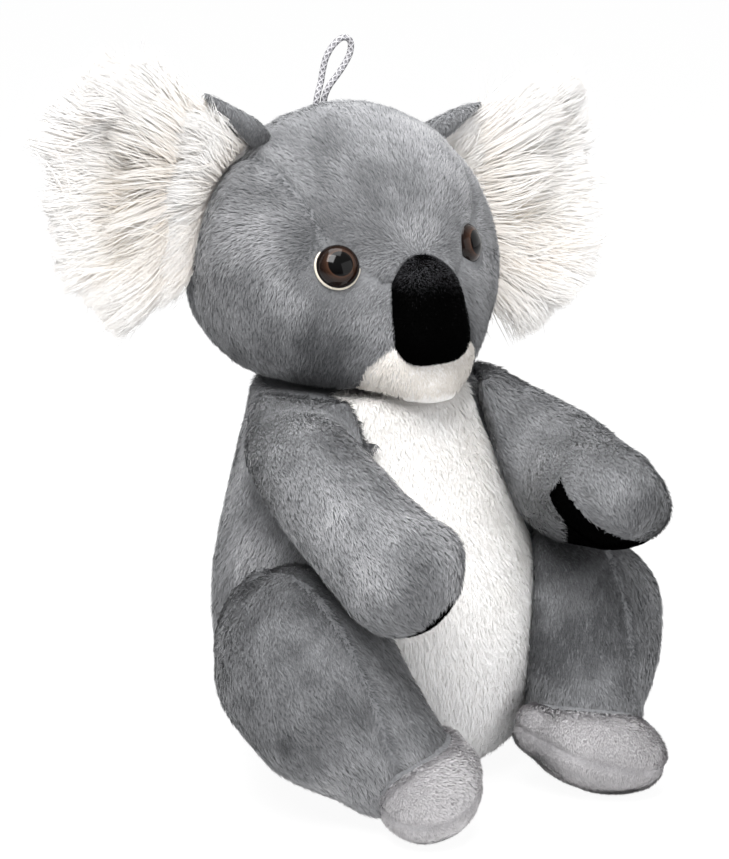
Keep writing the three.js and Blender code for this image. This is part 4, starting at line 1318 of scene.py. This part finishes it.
# Pieces inside, as the solids have them
POUCH_CLOTH = cloth_material("woven_pellet_pouch", "b8b8b8", "d4d4d4", grain=0.8)
WASHER = cloth_material("moulded_nylon_washer", "d2d2cc", "dededa", grain=3, bump=0.05, roughness=0.5)
for node in ("pellet_pouch", "eye_washer_left", "eye_washer_right"):
    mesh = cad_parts[node].data
    mesh.materials.clear()
    mesh.materials.append(POUCH_CLOTH if node == "pellet_pouch" else WASHER)

# Stage
SKY = 0.62  # the strength of the world's light
FLOOR_GLOW, FLOOR_SHARE = 1.05, 0.9  # the floor's own light, and how much of it the camera sees


def make_stage():
    """A white floor that the camera sees as white but for the toy's shadow."""
    bm = bmesh.new()
    bmesh.ops.create_grid(bm, x_segments=1, y_segments=1, size=3)
    material, shader = new_material(
        "white_studio_floor", Base_Color=(0.8, 0.8, 0.8, 1), Roughness=0.9, Specular_IOR_Level=0)
    paths = add_node(material, "LightPath")
    glow = add_node(material, "Emission", Strength=FLOOR_GLOW)
    seen = sum_node(material, "MULTIPLY", (paths, "Is Camera Ray"), FLOOR_SHARE)
    mix = add_node(material, "MixShader", [(0, seen, 0), (1, shader, 0), (2, glow, 0)])
    link(material, mix, 0, material.node_tree.nodes["Material Output"], "Surface")
    floor = add_object("floor", finished_mesh(bm, "floor"), material)
    world = bpy.data.worlds.new("studio")
    bpy.context.scene.world = world
    world.use_nodes = True
    light = world.node_tree.nodes["Background"]
    light.inputs["Strength"].default_value = SKY
    place = add_node(world, "TexCoord")
    split = add_node(world, "SeparateXYZ", [("Vector", place, "Generated")])
    sky = ramp(world, split, "Z", [(0, "a8a8aa"), (0.3, "d0d1d4"), (1, "ffffff")])
    link(world, sky, "Color", light, "Color")
    # The camera sees plain white, and so does what the eyes reflect from behind the toy
    white = add_node(world, "Background", Color=(1, 1, 1, 1))
    paths = add_node(world, "LightPath")
    shown = sum_node(world, "MAXIMUM", (paths, "Is Camera Ray"), (paths, "Is Transmission Ray"))
    away = Vector((sin(CAMERA_AZIMUTH), cos(CAMERA_AZIMUTH), 0))
    behind = sum_node(world, "DOT_PRODUCT", (place, "Generated"), away, kind="VectorMath")
    backdrop = sum_node(world, "GREATER_THAN", (behind, "Value"), 0)
    shining = sum_node(world, "MULTIPLY", (paths, "Is Glossy Ray"), (backdrop, 0))
    both = sum_node(world, "MAXIMUM", (shown, 0), (shining, 0))
    mix = add_node(world, "MixShader", [(0, both, 0), (1, light, 0), (2, white, 0)])
    link(world, mix, 0, world.node_tree.nodes["World Output"], "Surface")


def add_lamp(name, azimuth, elevation, distance, size, power):
    """A soft square lamp at an azimuth from the camera's, aimed at the toy's middle."""
    data = bpy.data.lights.new(name, "AREA")
    data.shape = "SQUARE"
    data.size = size
    data.energy = power
    stand(add_to_scene(name, data), CAMERA_AZIMUTH + radians(azimuth), radians(elevation), distance,
          (0, 0, 130))


make_stage()
add_lamp("key_softbox", 22, 56, 1100, 0.55, 13.6)
add_lamp("fill_softbox", -55, 14, 1300, 1.1, 4.6)
add_lamp("top_softbox", 0, 88, 1100, 0.8, 10.5)
bpy.context.scene.view_settings.view_transform = "Standard"
